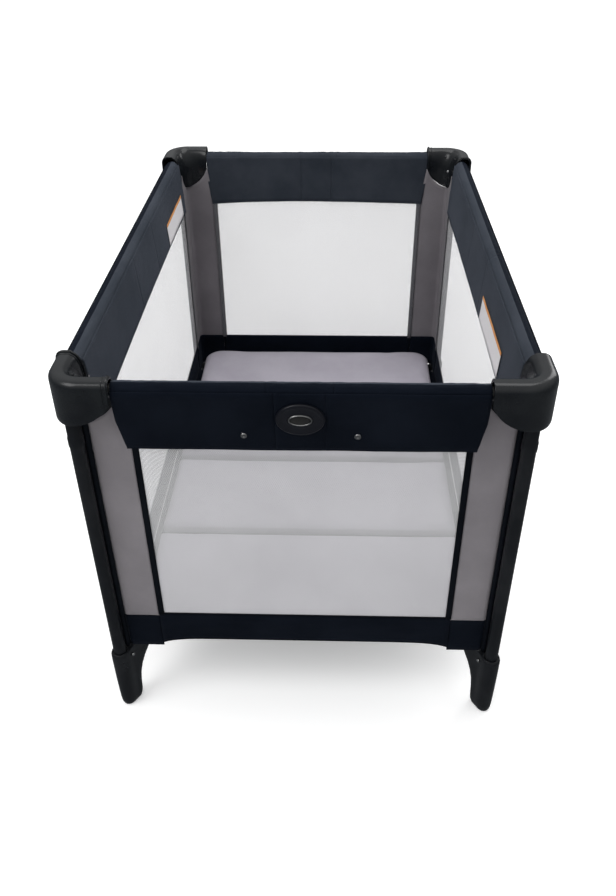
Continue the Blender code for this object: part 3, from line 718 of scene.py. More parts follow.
# %% Posts
for corner, (sx, sy) in CORNERS.items():
    low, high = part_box("post_" + corner)
    base = Vector((sx * POST_X, sy * POST_Y, low[2]))
    tall = high[2] - low[2] - 0.022
    profile = [(0.0085, 0.0), (POST_R - 0.0006, 0.0015), (POST_R - 0.0002, 0.085), (POST_R, 0.100)]
    profile += [(POST_R, 0.2), (POST_R, 0.3), (POST_R, 0.4), (POST_R, 0.5)]
    profile += [(POST_R, tall - 0.092), (POST_R + 0.0009, tall - 0.090), (POST_R + 0.0010, tall - 0.076)]
    profile += [(POST_R, tall - 0.072), (POST_R, tall - 0.002), (POST_R - 0.002, tall)]
    post = turned("post_tube_" + corner, base, UP, profile, POST, 40)
    post.data.set_sharp_from_angle(angle=math.radians(50))
    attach(post, "corner_" + corner)
    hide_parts("post_" + corner)
print("four posts", round(tall, 3), "m tall")

# %% [markdown]
# ## Feet
#
# A foot is a round sleeve on the post that grows a fin toward the middle of the playpen. The fin
# spreads at the top into a fork for the base arm. Its cross-section changes all the way up, so it is
# a loft: one outline, round at the back and slimmer toward the front, set out again at each height.
# A Boolean then opens the fork, and a Bevel softens the cut as a mould would.

# %% Foot sections
FOOT_FORM = [(0.000, 0.0085, 0.0190, 0.0085), (0.0025, 0.0120, 0.0250, 0.0112),
             (0.008, 0.0140, 0.0285, 0.0128), (0.020, 0.0152, 0.0305, 0.0138),
             (0.040, 0.0158, 0.0320, 0.0145), (0.058, 0.0162, 0.0350, 0.0150),
             (0.075, 0.0165, 0.0415, 0.0153), (0.090, 0.0166, 0.0515, 0.0156),
             (0.102, 0.0167, 0.0630, 0.0158), (0.112, 0.0168, 0.0725, 0.0159),
             (0.122, 0.0168, 0.0780, 0.0160), (0.131, 0.0168, 0.0785, 0.0160),
             (0.1365, 0.0167, 0.0765, 0.0159), (0.1390, 0.0161, 0.0750, 0.0153),
             (0.1400, 0.0150, 0.0730, 0.0142)]
FORK_HALF = 0.0118
SLOT_HALF = 0.0084
ARM_Z = JOINTS["fold"]["pos_m"][2]


def diagonal(corner):
    """Foot of the post, the way to the middle of the playpen, and the way across it."""
    sx, sy = CORNERS[corner]
    along = Vector((-sx * POST_X, -sy * POST_Y, 0)).normalized()
    return Vector((sx * POST_X, sy * POST_Y, 0)), along, UP.cross(along)


def foot_section(back, front, half):
    outline = []
    for i in range(13):
        turn = math.pi / 2 + math.pi * i / 12
        outline.append((back * math.cos(turn), half * math.sin(turn)))
    slim = min(FORK_HALF, half)
    side = []
    for i in range(1, 15):
        t = 1 - (1 - i / 14) ** 1.8
        ease = min(1.0, t * front / 0.020)
        ease = ease * ease * (3 - 2 * ease)
        width = (half + (slim - half) * ease) * math.sqrt(max(0.0, 1 - t**9))
        side.append((t * front, width))
    outline += [(s, -w) for s, w in side]
    outline += [(s, w) for s, w in reversed(side[:-1])]
    return outline


for corner in CORNERS:
    post, along, across = diagonal(corner)
    rows = []
    for z, back, front, half in FOOT_FORM:
        section = foot_section(back, front, half)
        rows.append([post + along * s + across * w + UP * z for s, w in section])
    foot = surface_piece("foot_body", rows, FOOT, closed=True, caps=True)
    ends = [(FOOT_PIVOT - 0.0150, ARM_Z - 0.0135), (0.11, ARM_Z - 0.0135), (0.11, 0.17),
            (FOOT_PIVOT - 0.0150, 0.17)]
    block = [[post + along * s + across * w + UP * z for s, z in ends]
             for w in (-SLOT_HALF, SLOT_HALF)]
    cutter = surface_piece("slot", block, FOOT, closed=True, caps=True)
    cut = foot.modifiers.new("fork", "BOOLEAN")
    cut.object, cut.operation, cut.solver = cutter, "DIFFERENCE", "EXACT"
    apply_modifiers(foot)
    bpy.data.objects.remove(cutter)
    bevel(foot, 0.0009, 2, 38)
    ring = [post + UP * 0.1398 + Vector((math.cos(t), math.sin(t), 0)) * (POST_R + 0.0022)
            for t in [2 * math.pi * i / 36 for i in range(37)]]
    foot = join("foot_shell_" + corner, [foot, swept("collar", ring, 0.0017, FOOT, 10)])
    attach(foot, "corner_" + corner)
    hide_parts("foot_" + corner)
    heads = []
    for side in (-1, 1):
        pin = post + along * FOOT_PIVOT + UP * ARM_Z + across * side * FORK_HALF
        heads.append(rivet("head", pin, across * side, 1.5, RIVET))
        stud = post + along * 0.016 + UP * 0.124 + across * side * 0.0148
        heads.append(rivet("head", stud, across * side, 1.1, RIVET))
    heads = join("foot_rivets_" + corner, heads)
    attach(heads, "corner_" + corner)
    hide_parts("foot_pin_" + corner)
print("four feet, fork at", ARM_Z)

# %% [markdown]
# ## Base arms and the hub
#
# Four steel tubes run from the feet to a hub in the middle, all under the floor. They are turned
# tubes with crimped ends. The hub, its centre leg, the inner pins and the pull strap have the right
# shape in the solid frame already, so they only get finishes.

# %% Arms and carried-over pieces
ARM_R = 0.008
for corner in CORNERS:
    post, along, across = diagonal(corner)
    begin = post + along * (FOOT_PIVOT - 0.009) + UP * ARM_Z
    length = DIAGONAL - HUB_PIVOT - FOOT_PIVOT + 0.018
    profile = [(ARM_R - 0.0018, 0.0), (ARM_R - 0.0004, 0.0006), (ARM_R, 0.0018), (ARM_R, 0.03)]
    profile += [(ARM_R, length * k / 4) for k in (1, 2, 3)]
    profile += [(ARM_R, length - 0.03), (ARM_R, length - 0.0018), (ARM_R - 0.0018, length)]
    arm = turned("arm_tube_" + corner, begin, along, profile, TUBE, 28)
    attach(arm, "base_arm_" + corner)
    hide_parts("arm_" + corner)

CARRIED = {"hub_pin": RIVET, "hub": FOOT, "pull_strap": WEB, "latch": LATCH, "rail": TUBE}
for name, node in frame["nodes"].items():
    for start, finish in CARRIED.items():
        if name.startswith(start):
            for held in node.material_slots:
                held.material = finish
            break
print("arms", round(length, 3), "m long")

# %% [markdown]
# ## Grey corner cloths
#
# Each corner has one piece of grey nylon, folded in an L just inside the post and stretched from the
# lower skirt up into the casting. Near the top it narrows, because the rail cover reaches over it
# with a slanted edge. Every row of the grid runs round the corner. Faint tension folds come from
# smooth noise that changes quickly upward and slowly across.

# %% Corner cloths
FOLD_R = 0.009
CLOTH_T = 0.0014


def strip_inset(z):
    """Distance from the post's middle to the inner edge of the corner cloth at a height."""
    share = min(1.0, max(0.0, (z - COVER_LOW) / (STRIP_TOP - COVER_LOW)))
    return STRIP_IN + (LEG - POST_INSET - STRIP_IN) * share


def corner_row(corner, z, inset_a, inset_b, depth, steps=10):
    """Points round the inside of a post, depth inward of the posts' lines, from edge to edge."""
    sx, sy = CORNERS[corner]
    plan = []
    for i in range(steps):
        plan.append((inset_a + (depth + FOLD_R - inset_a) * i / steps, depth))
    for i in range(7):
        turn = math.pi / 2 * i / 6
        plan.append((depth + FOLD_R * (1 - math.sin(turn)), depth + FOLD_R * (1 - math.cos(turn))))
    for i in range(1, steps + 1):
        plan.append((depth, depth + FOLD_R + (inset_b - depth - FOLD_R) * i / steps))
    return [Vector((sx * (POST_X - p), sy * (POST_Y - q), z)) for p, q in plan]


def flat_area(rows):
    """Area of a grid of points, before any wrinkles."""
    area = 0.0
    for low, high in zip(rows, rows[1:]):
        for i in range(len(low) - 1):
            area += (low[i + 1] - low[i]).cross(high[i] - low[i]).length / 2
            area += (high[i + 1] - low[i + 1]).cross(high[i + 1] - high[i]).length / 2
    return area


def longest(rows):
    """The longest row and the longest column of a grid: the size the cloth is cut from."""
    across = max(sum((b - a).length for a, b in zip(row, row[1:])) for row in rows)
    columns = list(zip(*rows))
    return across, max(sum((b - a).length for a, b in zip(c, c[1:])) for c in columns)


FLAT = {}


def declare(obj, rows, rests_on):
    size = longest(rows)
    area = min(flat_area(rows), size[0] * size[1])
    FLAT[obj.name] = (round(size[0], 3), round(size[1], 3))


def under_shield(point):
    """Height at which the cloth stops: its own top, or just under the casting's shield."""
    plan = Vector((HALF_W - abs(point.x), HALF_L - abs(point.y)))
    return min(STRIP_TOP + 0.015, shield_edge(plan, INNER_DROP + 0.0006))


for index, (corner, (sx, sy)) in enumerate(CORNERS.items()):
    rows = []
    base = SKIRT_TOP - 0.006
    for i in range(45):
        z = base + (STRIP_TOP - base) * i / 44
        edge = strip_inset(z)
        row = corner_row(corner, z, edge, edge, CLOTH_IN + CLOTH_T / 2)
        for point in row:
            point.z = base + (under_shield(point) - base) * i / 44
        rows.append(row)
    inward = Vector((-sx, -sy, 0)).normalized()
    wrinkled = []
    for row in rows:
        moved = []
        for k, point in enumerate(row):
            side = (k - len(row) / 2) / len(row)
            fold = ripple((point.x * 2.2, point.y * 2.2, point.z * 3.4), 9.0, index * 3.1)
            fine = ripple((point.x * 3, point.y * 3, point.z * 9), 11.0, index * 1.7 + 5)
            moved.append(point + inward * (0.0010 * fold + 0.0004 * fine) * (0.4 + abs(side)))
        wrinkled.append(moved)
    cloth = surface_piece("corner_cloth_grey_" + corner, wrinkled, GREY)
    thicken(cloth, CLOTH_T)
    declare(cloth, rows, ["casting_shell_" + corner])
    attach(cloth, "corner_" + corner)
    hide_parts("corner_cloth_" + corner)
print("corner cloths cut", FLAT["corner_cloth_grey_fl"])

# %% [markdown]
# A black tape covers the joint between the grey cloth and the net outside, and a dotted binding does
# the same inside. A thin black piping follows the fold of the corner. All of them are narrow bands
# laid on the cloth, so they are small grids too, and they move with the post.

# %% Tapes, binding and corner piping
TAPE_IN = STRIP_IN + 0.0090
PIPING_OUT, PIPING_R = 0.0010, 0.0050


def band(name, wall, side, first, last, low, high, o, finish, thickness=0.0009):
    """A flat band on a wall between two distances from the post, at outward position o."""
    rows = []
    for i in range(25):
        z = low + (high - low) * i / 24
        row = []
        for k in range(4):
            a = side * (wall.reach - (first + (last - first) * k / 3))
            row.append(wall.at(a, o + 0.0002 * ripple((a, o, z), 40.0), z))
        rows.append(row)
    return thicken(surface_piece(name, rows, finish), thickness)


for wall in WALLS:
    for side, corner in zip((-1, 1), wall.corners):
        outer = band("outer", wall, side, STRIP_IN - 0.0012, TAPE_IN, SKIRT_TOP - 0.004,
                     COVER_LOW + 0.012, -CLOTH_IN + 0.0007, TAPE)
        inner = band("inner", wall, side, STRIP_IN - 0.0010, TAPE_IN - 0.0010, SKIRT_TOP - 0.004,
                     COVER_LOW + 0.010, -CLOTH_IN - CLOTH_T - 0.0018, BINDING)
        tapes = join("tapes_%s_%s" % (wall.name, corner), [outer, inner])
        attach(tapes, "corner_" + corner)

for corner, (sx, sy) in CORNERS.items():
    inset = -CLOTH_IN + PIPING_OUT
    place = Vector((sx * (POST_X + inset), sy * (POST_Y + inset), 0))
    line = [place + UP * (SKIRT_LOW + 0.004 + (STRIP_TOP - 0.024 - SKIRT_LOW) * i / 40) for i in range(41)]
    piping = swept("corner_piping_" + corner, line, PIPING_R, TAPE, 12)
    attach(piping, "corner_" + corner)
print("tapes on eight wall ends, piping on four corners")

# %% [markdown]
# ## Net walls
#
# A net wall is one stretched sheet from the rail cover to the lower skirt. When the frame folds the real net
# gathers between the posts; here the sheet only rides on one post.

# %% Nets


def wall_grid(wall, columns, rows_up, low, high, o, a0, a1):
    """A grid on a wall; low, high and o may each be a number or a function of a and height share."""

    def value(item, a, share):
        return item(a, share) if callable(item) else item

    rows = []
    for i in range(rows_up + 1):
        share = i / rows_up
        row = []
        for k in range(columns + 1):
            a = a0 + (a1 - a0) * k / columns
            z = value(low, a, share) + (value(high, a, share) - value(low, a, share)) * share
            row.append(wall.at(a, value(o, a, share), z))
        rows.append(row)
    return rows


def gather(obj, wall, half):
    """Rides on the wall's first post and gets its own copy of its mesh."""
    room = 2 * (folded_reach(wall.reach) - (wall.reach - half))
    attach(obj, "corner_" + wall.corners[0])
    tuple(wall.along)
    wall.at(-half, 0, 0)
    room / (2 * half)
    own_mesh(obj)


NET_O = -CLOTH_IN - CLOTH_T / 2
for wall in WALLS:
    half = wall.reach - STRIP_IN
    rows = wall_grid(wall, 30, 20, SKIRT_TOP - 0.006, COVER_LOW + 0.014, NET_O, -half, half)
    sheet = surface_piece("net_" + wall.name, rows, NET)
    declare(sheet, rows, ["rail_%s_%s" % (wall.name, wall.rails[0].split("_")[2])])
    gather(sheet, wall, half)
    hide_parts("mesh_" + wall.name)
print("nets cut", FLAT["net_front"], FLAT["net_left"])

# %% [markdown]
# ## Lower skirt and floor
#
# The dark fabric bottom is a floor sheet with a skirt round it. The skirt's lower edge lifts in a
# long flat arch between the feet. It is made as four middles, each riding on one post, and four corner
# pieces that stay with their posts. The floor is in four quarters, each of which follows its own base
# arm; the real floor bunches up along the arms when the hub is pulled up.

# %% Skirt
FLOOR_Z = SKIRT_TOP - 0.064


def arch(wall, a):
    """Height of the skirt's lower edge at a place along the wall."""
    t = min(1.0, abs(a) / (wall.reach - CLOTH_IN - 0.035))
    return max(SKIRT_LOW + 0.0022, FLOOR_Z - 0.001 - 0.032 * t**10)


def skirt_bulge(wall, a, share):
    """Outward place of the skirt: it hangs a little full between its hems."""
    sway = ripple((a * 1.0, wall.plane * 3, share), 13.0, 2.0)
    return -CLOTH_IN - 0.0010 + 0.0016 * math.sin(math.pi * share) * (1 + 0.6 * sway)


for wall in WALLS:
    half = wall.reach - STRIP_IN
    rows = wall_grid(wall, 60, 10, lambda a, s: arch(wall, a), SKIRT_TOP,
                     lambda a, s: skirt_bulge(wall, a, s), -half, half)
    sheet = thicken(surface_piece("body", rows, NAVY), CLOTH_T)
    line = [wall.at(-half + 2 * half * i / 60, -CLOTH_IN - 0.0001, SKIRT_TOP - 0.001) for i in range(61)]
    hem = swept("hem", line, 0.0015, TAPE, 6)
    edge = [row + wall.outward * 0.0004 for row in rows[0]]
    low_hem = swept("low_hem", edge, 0.0013, TAPE, 6)
    skirt = join("skirt_" + wall.name, [sheet, hem, low_hem])
    declare(skirt, rows, ["foot_shell_" + wall.corners[0], "foot_shell_" + wall.corners[1]])
    gather(skirt, wall, half)
    if wall.name == "front":
        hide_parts("floor_tray")

for corner in CORNERS:
    rows = []
    for i in range(9):
        z = SKIRT_LOW + 0.0022 + (SKIRT_TOP - SKIRT_LOW - 0.0022) * i / 8
        rows.append(corner_row(corner, z, STRIP_IN, STRIP_IN, CLOTH_IN + 0.0010))
    piece = thicken(surface_piece("skirt_corner_" + corner, rows, NAVY), CLOTH_T)
    declare(piece, rows, ["foot_shell_" + corner])
    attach(piece, "corner_" + corner)
print("skirt from", round(FLOOR_Z, 3), "to", SKIRT_TOP)

# %% Floor quarters
INSIDE_X, INSIDE_Y = POST_X - CLOTH_IN - 0.0032, POST_Y - CLOTH_IN - 0.0032
GUSSET = 0.085
for corner, (sx, sy) in CORNERS.items():
    rows = []
    for i in range(13):
        y = INSIDE_Y * i / 12
        wide = INSIDE_X - GUSSET * max(0.0, (y - INSIDE_Y) / GUSSET + 1)
        rows.append([Vector((sx * wide * k / 12, sy * y, FLOOR_Z + 0.0004)) for k in range(13)])
    post, along, across = diagonal(corner)
    quarter = thicken(surface_piece("floor_quarter_" + corner, rows, NAVY), 0.0012)
    declare(quarter, rows, ["arm_tube_" + corner])
    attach(quarter, "base_arm_" + corner)
    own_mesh(quarter)
print("four floor quarters")

# %% [markdown]
# ## Padded rail covers
#
# A cover is dark nylon over a foam roll, with a skirt hanging down on each side of the net. The rail
# inside is two halves hinged at a latch, so the roll is in three lengths that butt together: one
# on each half rail and one on the latch. Their shape is one formula of the place along the wall, so the
# joints don't show until the frame folds.

# %% Rolls
ROLL_R = 0.0145
LIT_INSIDE_EDGE = 0.001
SLEEVE_GAP = 0.0235


def roll_radius(wall, a, turn):
    """Radius of the foam roll: small puckers across the top, from the cloth being pulled tight."""
    seed = wall.plane * 7 + wall.outward.x * 3 + wall.outward.y * 5
    near_end = math.exp(-abs(wall.reach - LEG + POST_INSET - abs(a)) / 0.055)
    near_latch = math.exp(-abs(abs(a) - 0.035) / 0.030)
    pucker = ripple((a, 0.25 * math.cos(turn), 0.25 * math.sin(turn)), 95.0, seed)
    broad = ripple((a, 0.3 * math.cos(turn), 0.3 * math.sin(turn)), 18.0, seed + 4)
    top = 0.5 + 0.5 * math.sin(turn)
    return ROLL_R + 0.0007 * broad + 0.0011 * pucker * top * (0.25 + near_end + 0.7 * near_latch)


def roll_piece(name, wall, a0, a1):
    steps = max(6, int(abs(a1 - a0) / 0.0032))
    rows = []
    for shrink, a in [(0.55, a0), (0.9, a0)] + [(1.0, a0 + (a1 - a0) * i / steps) for i in range(steps + 1)] \
            + [(0.9, a1), (0.55, a1)]:
        row = []
        for k in range(36):
            turn = 2 * math.pi * k / 36
            radius = roll_radius(wall, a, turn) * shrink
            row.append(wall.at(a, RAIL_OUT + radius * math.cos(turn), RAIL_Z + radius * math.sin(turn)))
        rows.append(row)
    piece = surface_piece(name, rows, NAVY, closed=True, caps=True)
    # The inward half of each roll gets the paler navy copy: painted light from above.
    piece.data.materials.append(NAVY_LIT_INSIDE)
    for face in piece.data.polygons:
        outward_of_rail = (face.center - wall.at(0, RAIL_OUT, RAIL_Z)).dot(wall.outward)
        face.material_index = 1 if outward_of_rail < LIT_INSIDE_EDGE else 0
    return piece


def cover_spans(wall):
    """The three lengths of a cover, as (name, start, end, body)."""
    end = wall.reach - (LEG - POST_INSET) - 0.0004
    mid = wall.pivot + SLEEVE_GAP
    halves = [rail.split("_")[2] for rail in wall.rails]
    return [(halves[0], -end, -mid, wall.rails[0]), ("middle", -mid, mid, wall.latch),
            (halves[1], mid, end, wall.rails[1])]


for wall in WALLS:
    for part, a0, a1, body in cover_spans(wall):
        roll = roll_piece("cover_roll_%s_%s" % (wall.name, part), wall, a0, a1)
        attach(roll, body)
print("rolls of radius", ROLL_R)

# %% [markdown]
# The skirts are sheets. Each starts a little way up the roll, follows it down and then hangs in a
# straight line to its hem, outside toward the net's line and inside a touch lower, where the hem
# waves. The hem is a fold, so the cloth is a little thicker there.

# %% Cover skirts
OUTER_LOW = 0.0036
INNER_LOW = -0.0172


def skirt_line(side, share, hem):
    """Outward place and height on a skirt, from its start on the roll (0) to its hem (1)."""
    start = math.radians(24)
    lift = ROLL_R + 0.0008
    if share < 0.2:
        turn = start * (1 - share / 0.2)
        return RAIL_OUT + side * lift * math.cos(turn), RAIL_Z + lift * math.sin(turn)
    t = (share - 0.2) / 0.8
    begin, end = RAIL_OUT + side * lift, OUTER_LOW if side > 0 else INNER_LOW
    return begin + (end - begin) * t, RAIL_Z + (hem - RAIL_Z) * t


def crumple(obj, wall, side):
    """Gives a piece of skirt its own copy of its mesh."""
    begin, end = RAIL_OUT + side * (ROLL_R + 0.0008), OUTER_LOW if side > 0 else INNER_LOW
    slope = (wall.outward * (begin - end) + UP * (RAIL_Z - COVER_LOW)).normalized()
    wall.at(0, begin, RAIL_Z)
    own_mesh(obj)


def hem_height(wall, side, a):
    if side > 0:
        return COVER_LOW + 0.0006 * ripple((a, wall.plane, 1), 11.0, 3)
    end = wall.reach - STRIP_IN
    rise = 0.0060 * (1 - (a / end) ** 2)
    return COVER_LOW - 0.0015 + rise + 0.0016 * ripple((a, wall.plane, 2), 9.0, 8)


def slanted(wall, a, z):
    """Pulls a point near the casting in to the cover's slanted end."""
    limit = min(wall.reach - strip_inset(z) + 0.0024, wall.reach + POST_INSET - LEG - 0.0004)
    return max(-limit, min(limit, a))


def skirt_sheet(name, wall, side, a0, a1):
    columns = max(10, int((a1 - a0) / 0.0048))
    flat, made = [], []
    for i in range(17):
        share = i / 16
        plain, row = [], []
        for k in range(columns + 1):
            a = a0 + (a1 - a0) * k / columns
            o, z = skirt_line(side, share, hem_height(wall, side, a))
            place = slanted(wall, a, z)
            plain.append(wall.at(place, o, z))
            sway = 0.0011 * ripple((a, z * 0.35, wall.plane), 16.0, side * 3 + 6)
            fine = 0.0004 * ripple((a, z * 0.5, wall.plane), 70.0, side * 5 + 9)
            full = min(1.0, share * 2.5) * (1 - 0.45 * share)
            row.append(wall.at(place, o + side * ((sway + fine) * full + 0.0006), z))
        flat.append(plain)
        made.append(row)
    # Inner skirts get the paler navy copy: painted light falling into the playpen.
    cloth = NAVY if side > 0 else NAVY_LIT_INSIDE
    sheet = thicken(surface_piece("body", made, cloth), CLOTH_T)
    hem = [p - UP * 0.0001 for p in made[-1]]
    piece = join(name, [sheet, swept("hem", hem, 0.0013, cloth, 6)])
    return piece, flat


def skirt_spans(wall):
    """As the rolls, but with a narrower middle on the short walls, where the posts come close."""
    spans = cover_spans(wall)
    mid = min(spans[1][2], wall.pivot + 0.0125) if wall.pivot < 0.04 else spans[1][2]
    (one, a0, _, low), (two, _, _, latch), (three, _, a1, high) = spans
    return [(one, a0, -mid, low), (two, -mid, mid, latch), (three, mid, a1, high)]


for wall in WALLS:
    for part, a0, a1, body in skirt_spans(wall):
        for side, face in ((1, "outer"), (-1, "inner")):
            name = "cover_%s_%s_%s" % (face, wall.name, part)
            sheet, flat = skirt_sheet(name, wall, side, a0, a1)
            declare(sheet, flat, ["cover_roll_%s_%s" % (wall.name, part)])
            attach(sheet, body)
            if part == "middle":
                if side > 0:
                    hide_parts("cover_" + wall.name)
            else:
                crumple(sheet, wall, side)
print("cover skirts cut", FLAT["cover_outer_front_l"], FLAT["cover_inner_left_f"])

# %% [markdown]
# ## Latch bezels and press buttons
#
# In the middle of each rail an oval bezel comes through the cover. Its flange has a rounded rim and
# a shallow dish, and in it sits an oval button with a thin silver rim. Both are stacks of ovals, whose
# two half-widths change separately, so that the outer oval is rounder than the button.

# %% Bezels and buttons
PRESS = {wall.name: -Vector(JOINTS["button_%s_press" % wall.name]["axis"]) for wall in WALLS}
BUTTON_A = (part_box("button_front")[1][0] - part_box("button_front")[0][0]) / 2
BUTTON_B = BUTTON_A * 0.6


def face_out(z):
    """Outward place of the cover's outer face at a height in the solid frame."""
    top = -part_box("cover_front")[0][1] - POST_Y
    return top - (top - 0.003) * (RAIL_Z - z) / (RAIL_Z - COVER_LOW)


def oval_rows(wall, rings, place_z, segments=48):
    way = PRESS[wall.name].normalized()
    rise = way.cross(wall.along).normalized()
    if rise.z < 0:
        rise = -rise
    centre = wall.at(0, face_out(place_z), place_z)
    rows = []
    for semi_a, semi_b, out in rings:
        row = []
        for i in range(segments):
            turn = 2 * math.pi * i / segments
            row.append(centre + wall.along * semi_a * math.cos(turn) + rise * semi_b * math.sin(turn)
                       + way * out)
        rows.append(row)
    return rows


BEZEL_RINGS = [(0.0332, 0.0276, 0.0005), (0.0350, 0.0294, 0.0016), (0.0354, 0.0298, 0.0034),
               (0.0350, 0.0294, 0.0052), (0.0338, 0.0282, 0.0064), (0.0318, 0.0263, 0.0068),
               (0.0300, 0.0246, 0.0064), (0.0278, 0.0222, 0.0057), (0.0250, 0.0190, 0.0054),
               (0.0218, 0.0152, 0.0055), (0.0200, 0.0130, 0.0058), (0.0190, 0.0120, 0.0060),
               (0.0184, 0.0113, 0.0058), (0.0180, 0.0109, 0.0050), (0.0180, 0.0109, 0.0010)]
BUTTON_PLACE = 0.660
for wall in WALLS:
    rows = oval_rows(wall, BEZEL_RINGS, BUTTON_PLACE)
    bezel = surface_piece("bezel_" + wall.name, rows, LATCH, closed=True)
    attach(bezel, wall.latch)
    a, b = BUTTON_A, BUTTON_B
    rim_rings = [(a - 0.0002, b - 0.0002, 0.0010), (a, b, 0.0055), (a - 0.0002, b - 0.0002, 0.0066),
                 (a - 0.0009, b - 0.0009, 0.0071), (a - 0.0017, b - 0.0017, 0.0069),
                 (a - 0.0021, b - 0.0021, 0.0063)]
    face_rings = [(a - 0.0020, b - 0.0020, 0.0060), (a - 0.0034, b - 0.0032, 0.0066),
                  (a * 0.55, b * 0.55, 0.0070), (a * 0.2, b * 0.2, 0.0071)]
    rim = surface_piece("rim", oval_rows(wall, rim_rings, BUTTON_PLACE), RIM, closed=True)
    key = surface_piece("key", oval_rows(wall, face_rings, BUTTON_PLACE), KEYCAP, closed=True, caps=True)
    button = join("button_face_" + wall.name, [rim, key])
    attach(button, "button_%s_body" % wall.name)
    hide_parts("button_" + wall.name)
print("bezels and buttons, button half-widths", round(BUTTON_A, 4), round(BUTTON_B, 4))

# %% [markdown]
# Two snap studs sit low on the front cover, and a blank paper label with a coloured top edge is sewn
# inside each long cover. They are on cloth that crumples with the fold.

# %% Snap studs and labels
STUD_A, STUD_Z = 0.0825, 0.6255
PAPER_LOW, PAPER_HIGH = 0.6040, 0.6480
STRIPE_LOW, STRIPE_HIGH = 0.6440, 0.6500
front = WALLS[0]


def skirt_face(side, z):
    """Outward place of a cover skirt's outer surface at a height."""
    begin, end = RAIL_OUT + side * (ROLL_R + 0.0008), OUTER_LOW if side > 0 else INNER_LOW
    return begin + (end - begin) * (RAIL_Z - z) / (RAIL_Z - COVER_LOW) + side * 0.0014


for side, rail in zip((-1, 1), front.rails):
    place = front.at(side * STUD_A, skirt_face(1, STUD_Z), STUD_Z)
    way = (front.outward * 0.98 - UP * 0.18).normalized()
    ring = [(0.0001, 0.0004), (0.0012, 0.0005), (0.0018, 0.0013), (0.0026, 0.0019), (0.0036, 0.0021),
            (0.0046, 0.0016), (0.0052, 0.0006), (0.0052, -0.0010)]
    stud = turned("snap_stud_" + rail.split("_")[2], place, way, ring, RIM, 28)
    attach(stud, rail)
    crumple(stud, front, 1)

for wall, y0, y1, rail in ((WALLS[2], 0.215, 0.405, 1), (WALLS[3], -0.330, -0.120, 0)):
    pieces = []
    for finish, z0, z1, lift in ((PAPER, PAPER_LOW, PAPER_HIGH, 0.0),
                                 (STRIPE, STRIPE_LOW, STRIPE_HIGH, 0.0002)):
        rows = []
        for i in range(7):
            z = z0 + (z1 - z0) * i / 6
            row = []
            for k in range(33):
                a = y0 + (y1 - y0) * k / 32
                o, _ = skirt_line(-1, 0.2 + 0.8 * (RAIL_Z - z) / (RAIL_Z - COVER_LOW), COVER_LOW)
                sway = 0.0011 * ripple((a, z * 0.35, wall.plane), 16.0, 3)
                row.append(wall.at(a, o - 0.0030 - lift - abs(sway), z))
            rows.append(row)
        pieces.append(thicken(surface_piece("card", rows, finish), 0.0004))
    label = join("label_" + wall.name, pieces)
    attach(label, wall.rails[rail])
    crumple(label, wall, -1)
print("two studs and two blank labels")

# %% [markdown]
# ## Mattress
#
# The mattress is four padded panels hinged to each other. A pad that is simply rounded looks like a
# board, so the cloth is blown up a little by a simulation: a fine closed mesh, air pressure inside
# and no gravity. The movement is then capped, so that a panel keeps to its place and stays flat
# underneath. The outer and the inner panels are simulated once each and mirrored for the other two.

# %% Mattress plan
PAD_LOW, PAD_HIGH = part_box("mattress_1"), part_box("mattress_4")
PAD_W, PAD_L = PAD_LOW[1][0], PAD_HIGH[1][1]
PAD_Z0, PAD_Z1 = PAD_LOW[0][2], PAD_LOW[1][2]
PAD_R = 0.045


def pad_outline(y0, y1, shrink, steps=8):
    """Plan of one panel, round at the corners that are corners of the whole mattress."""
    points = []
    for sx, end, first in ((1, 1, 0), (-1, 1, 90), (-1, -1, 180), (1, -1, 270)):
        y = y1 if end > 0 else y0
        outer = abs(y) > PAD_L - 0.001
        radius = PAD_R if outer else 0.007
        for i in range(steps + 1):
            turn = math.radians(first + 90 * i / steps)
            x = sx * (PAD_W - radius) + (radius - shrink) * math.cos(turn)
            points.append(Vector((x, y - end * radius + (radius - shrink) * math.sin(turn), 0)))
    return points


def pad_block(name, y0, y1):
    rings = [(0.006, PAD_Z0 + 0.0008), (0.0025, PAD_Z0 + 0.0035), (0.0015, PAD_Z0 + 0.009),
             (0.0015, PAD_Z1 - 0.009), (0.0030, PAD_Z1 - 0.004), (0.0075, PAD_Z1 - 0.0018)]
    rows = [[p + UP * z for p in pad_outline(y0, y1, shrink)] for shrink, z in rings]
    return surface_piece(name, rows, PAD, closed=True, caps=True)


def inflate(obj, y0, y1, cap):
    """Swells a closed pad with the Cloth simulation and keeps it inside its place."""
    remesh = obj.modifiers.new("even", "REMESH")
    remesh.mode, remesh.voxel_size = "VOXEL", 0.0058
    apply_modifiers(obj)
    start = [v.co.copy() for v in obj.data.vertices]
    cloth = obj.modifiers.new("air", "CLOTH")
    cloth.settings.use_pressure = True
    cloth.settings.uniform_pressure_force = 4.0
    cloth.settings.effector_weights.gravity = 0.0
    cloth.settings.quality = 4
    cloth.point_cache.frame_start, cloth.point_cache.frame_end = 1, 20
    for step in range(1, 21):
        bpy.context.scene.frame_set(step)
    graph = bpy.context.evaluated_depsgraph_get()
    swollen = [v.co.copy() for v in obj.evaluated_get(graph).data.vertices]
    obj.modifiers.clear()
    bpy.context.scene.frame_set(1)
    for vertex, first, last in zip(obj.data.vertices, start, swollen):
        move = last - first
        if move.length > cap:
            move *= cap / move.length
        co = first + move
        co.x = max(-PAD_W - 0.002, min(PAD_W + 0.002, co.x))
        co.y = max(y0 + 0.0006, min(y1 - 0.0006, co.y))
        co.z = max(PAD_Z0 + 0.0004, co.z)
        vertex.co = co
    obj.data.shade_smooth()
    return subdivide(obj)


# %% Mattress panels
panel_spans = []
for i in range(4):
    low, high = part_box("mattress_%d" % (i + 1))
    panel_spans.append((low[1], high[1]))


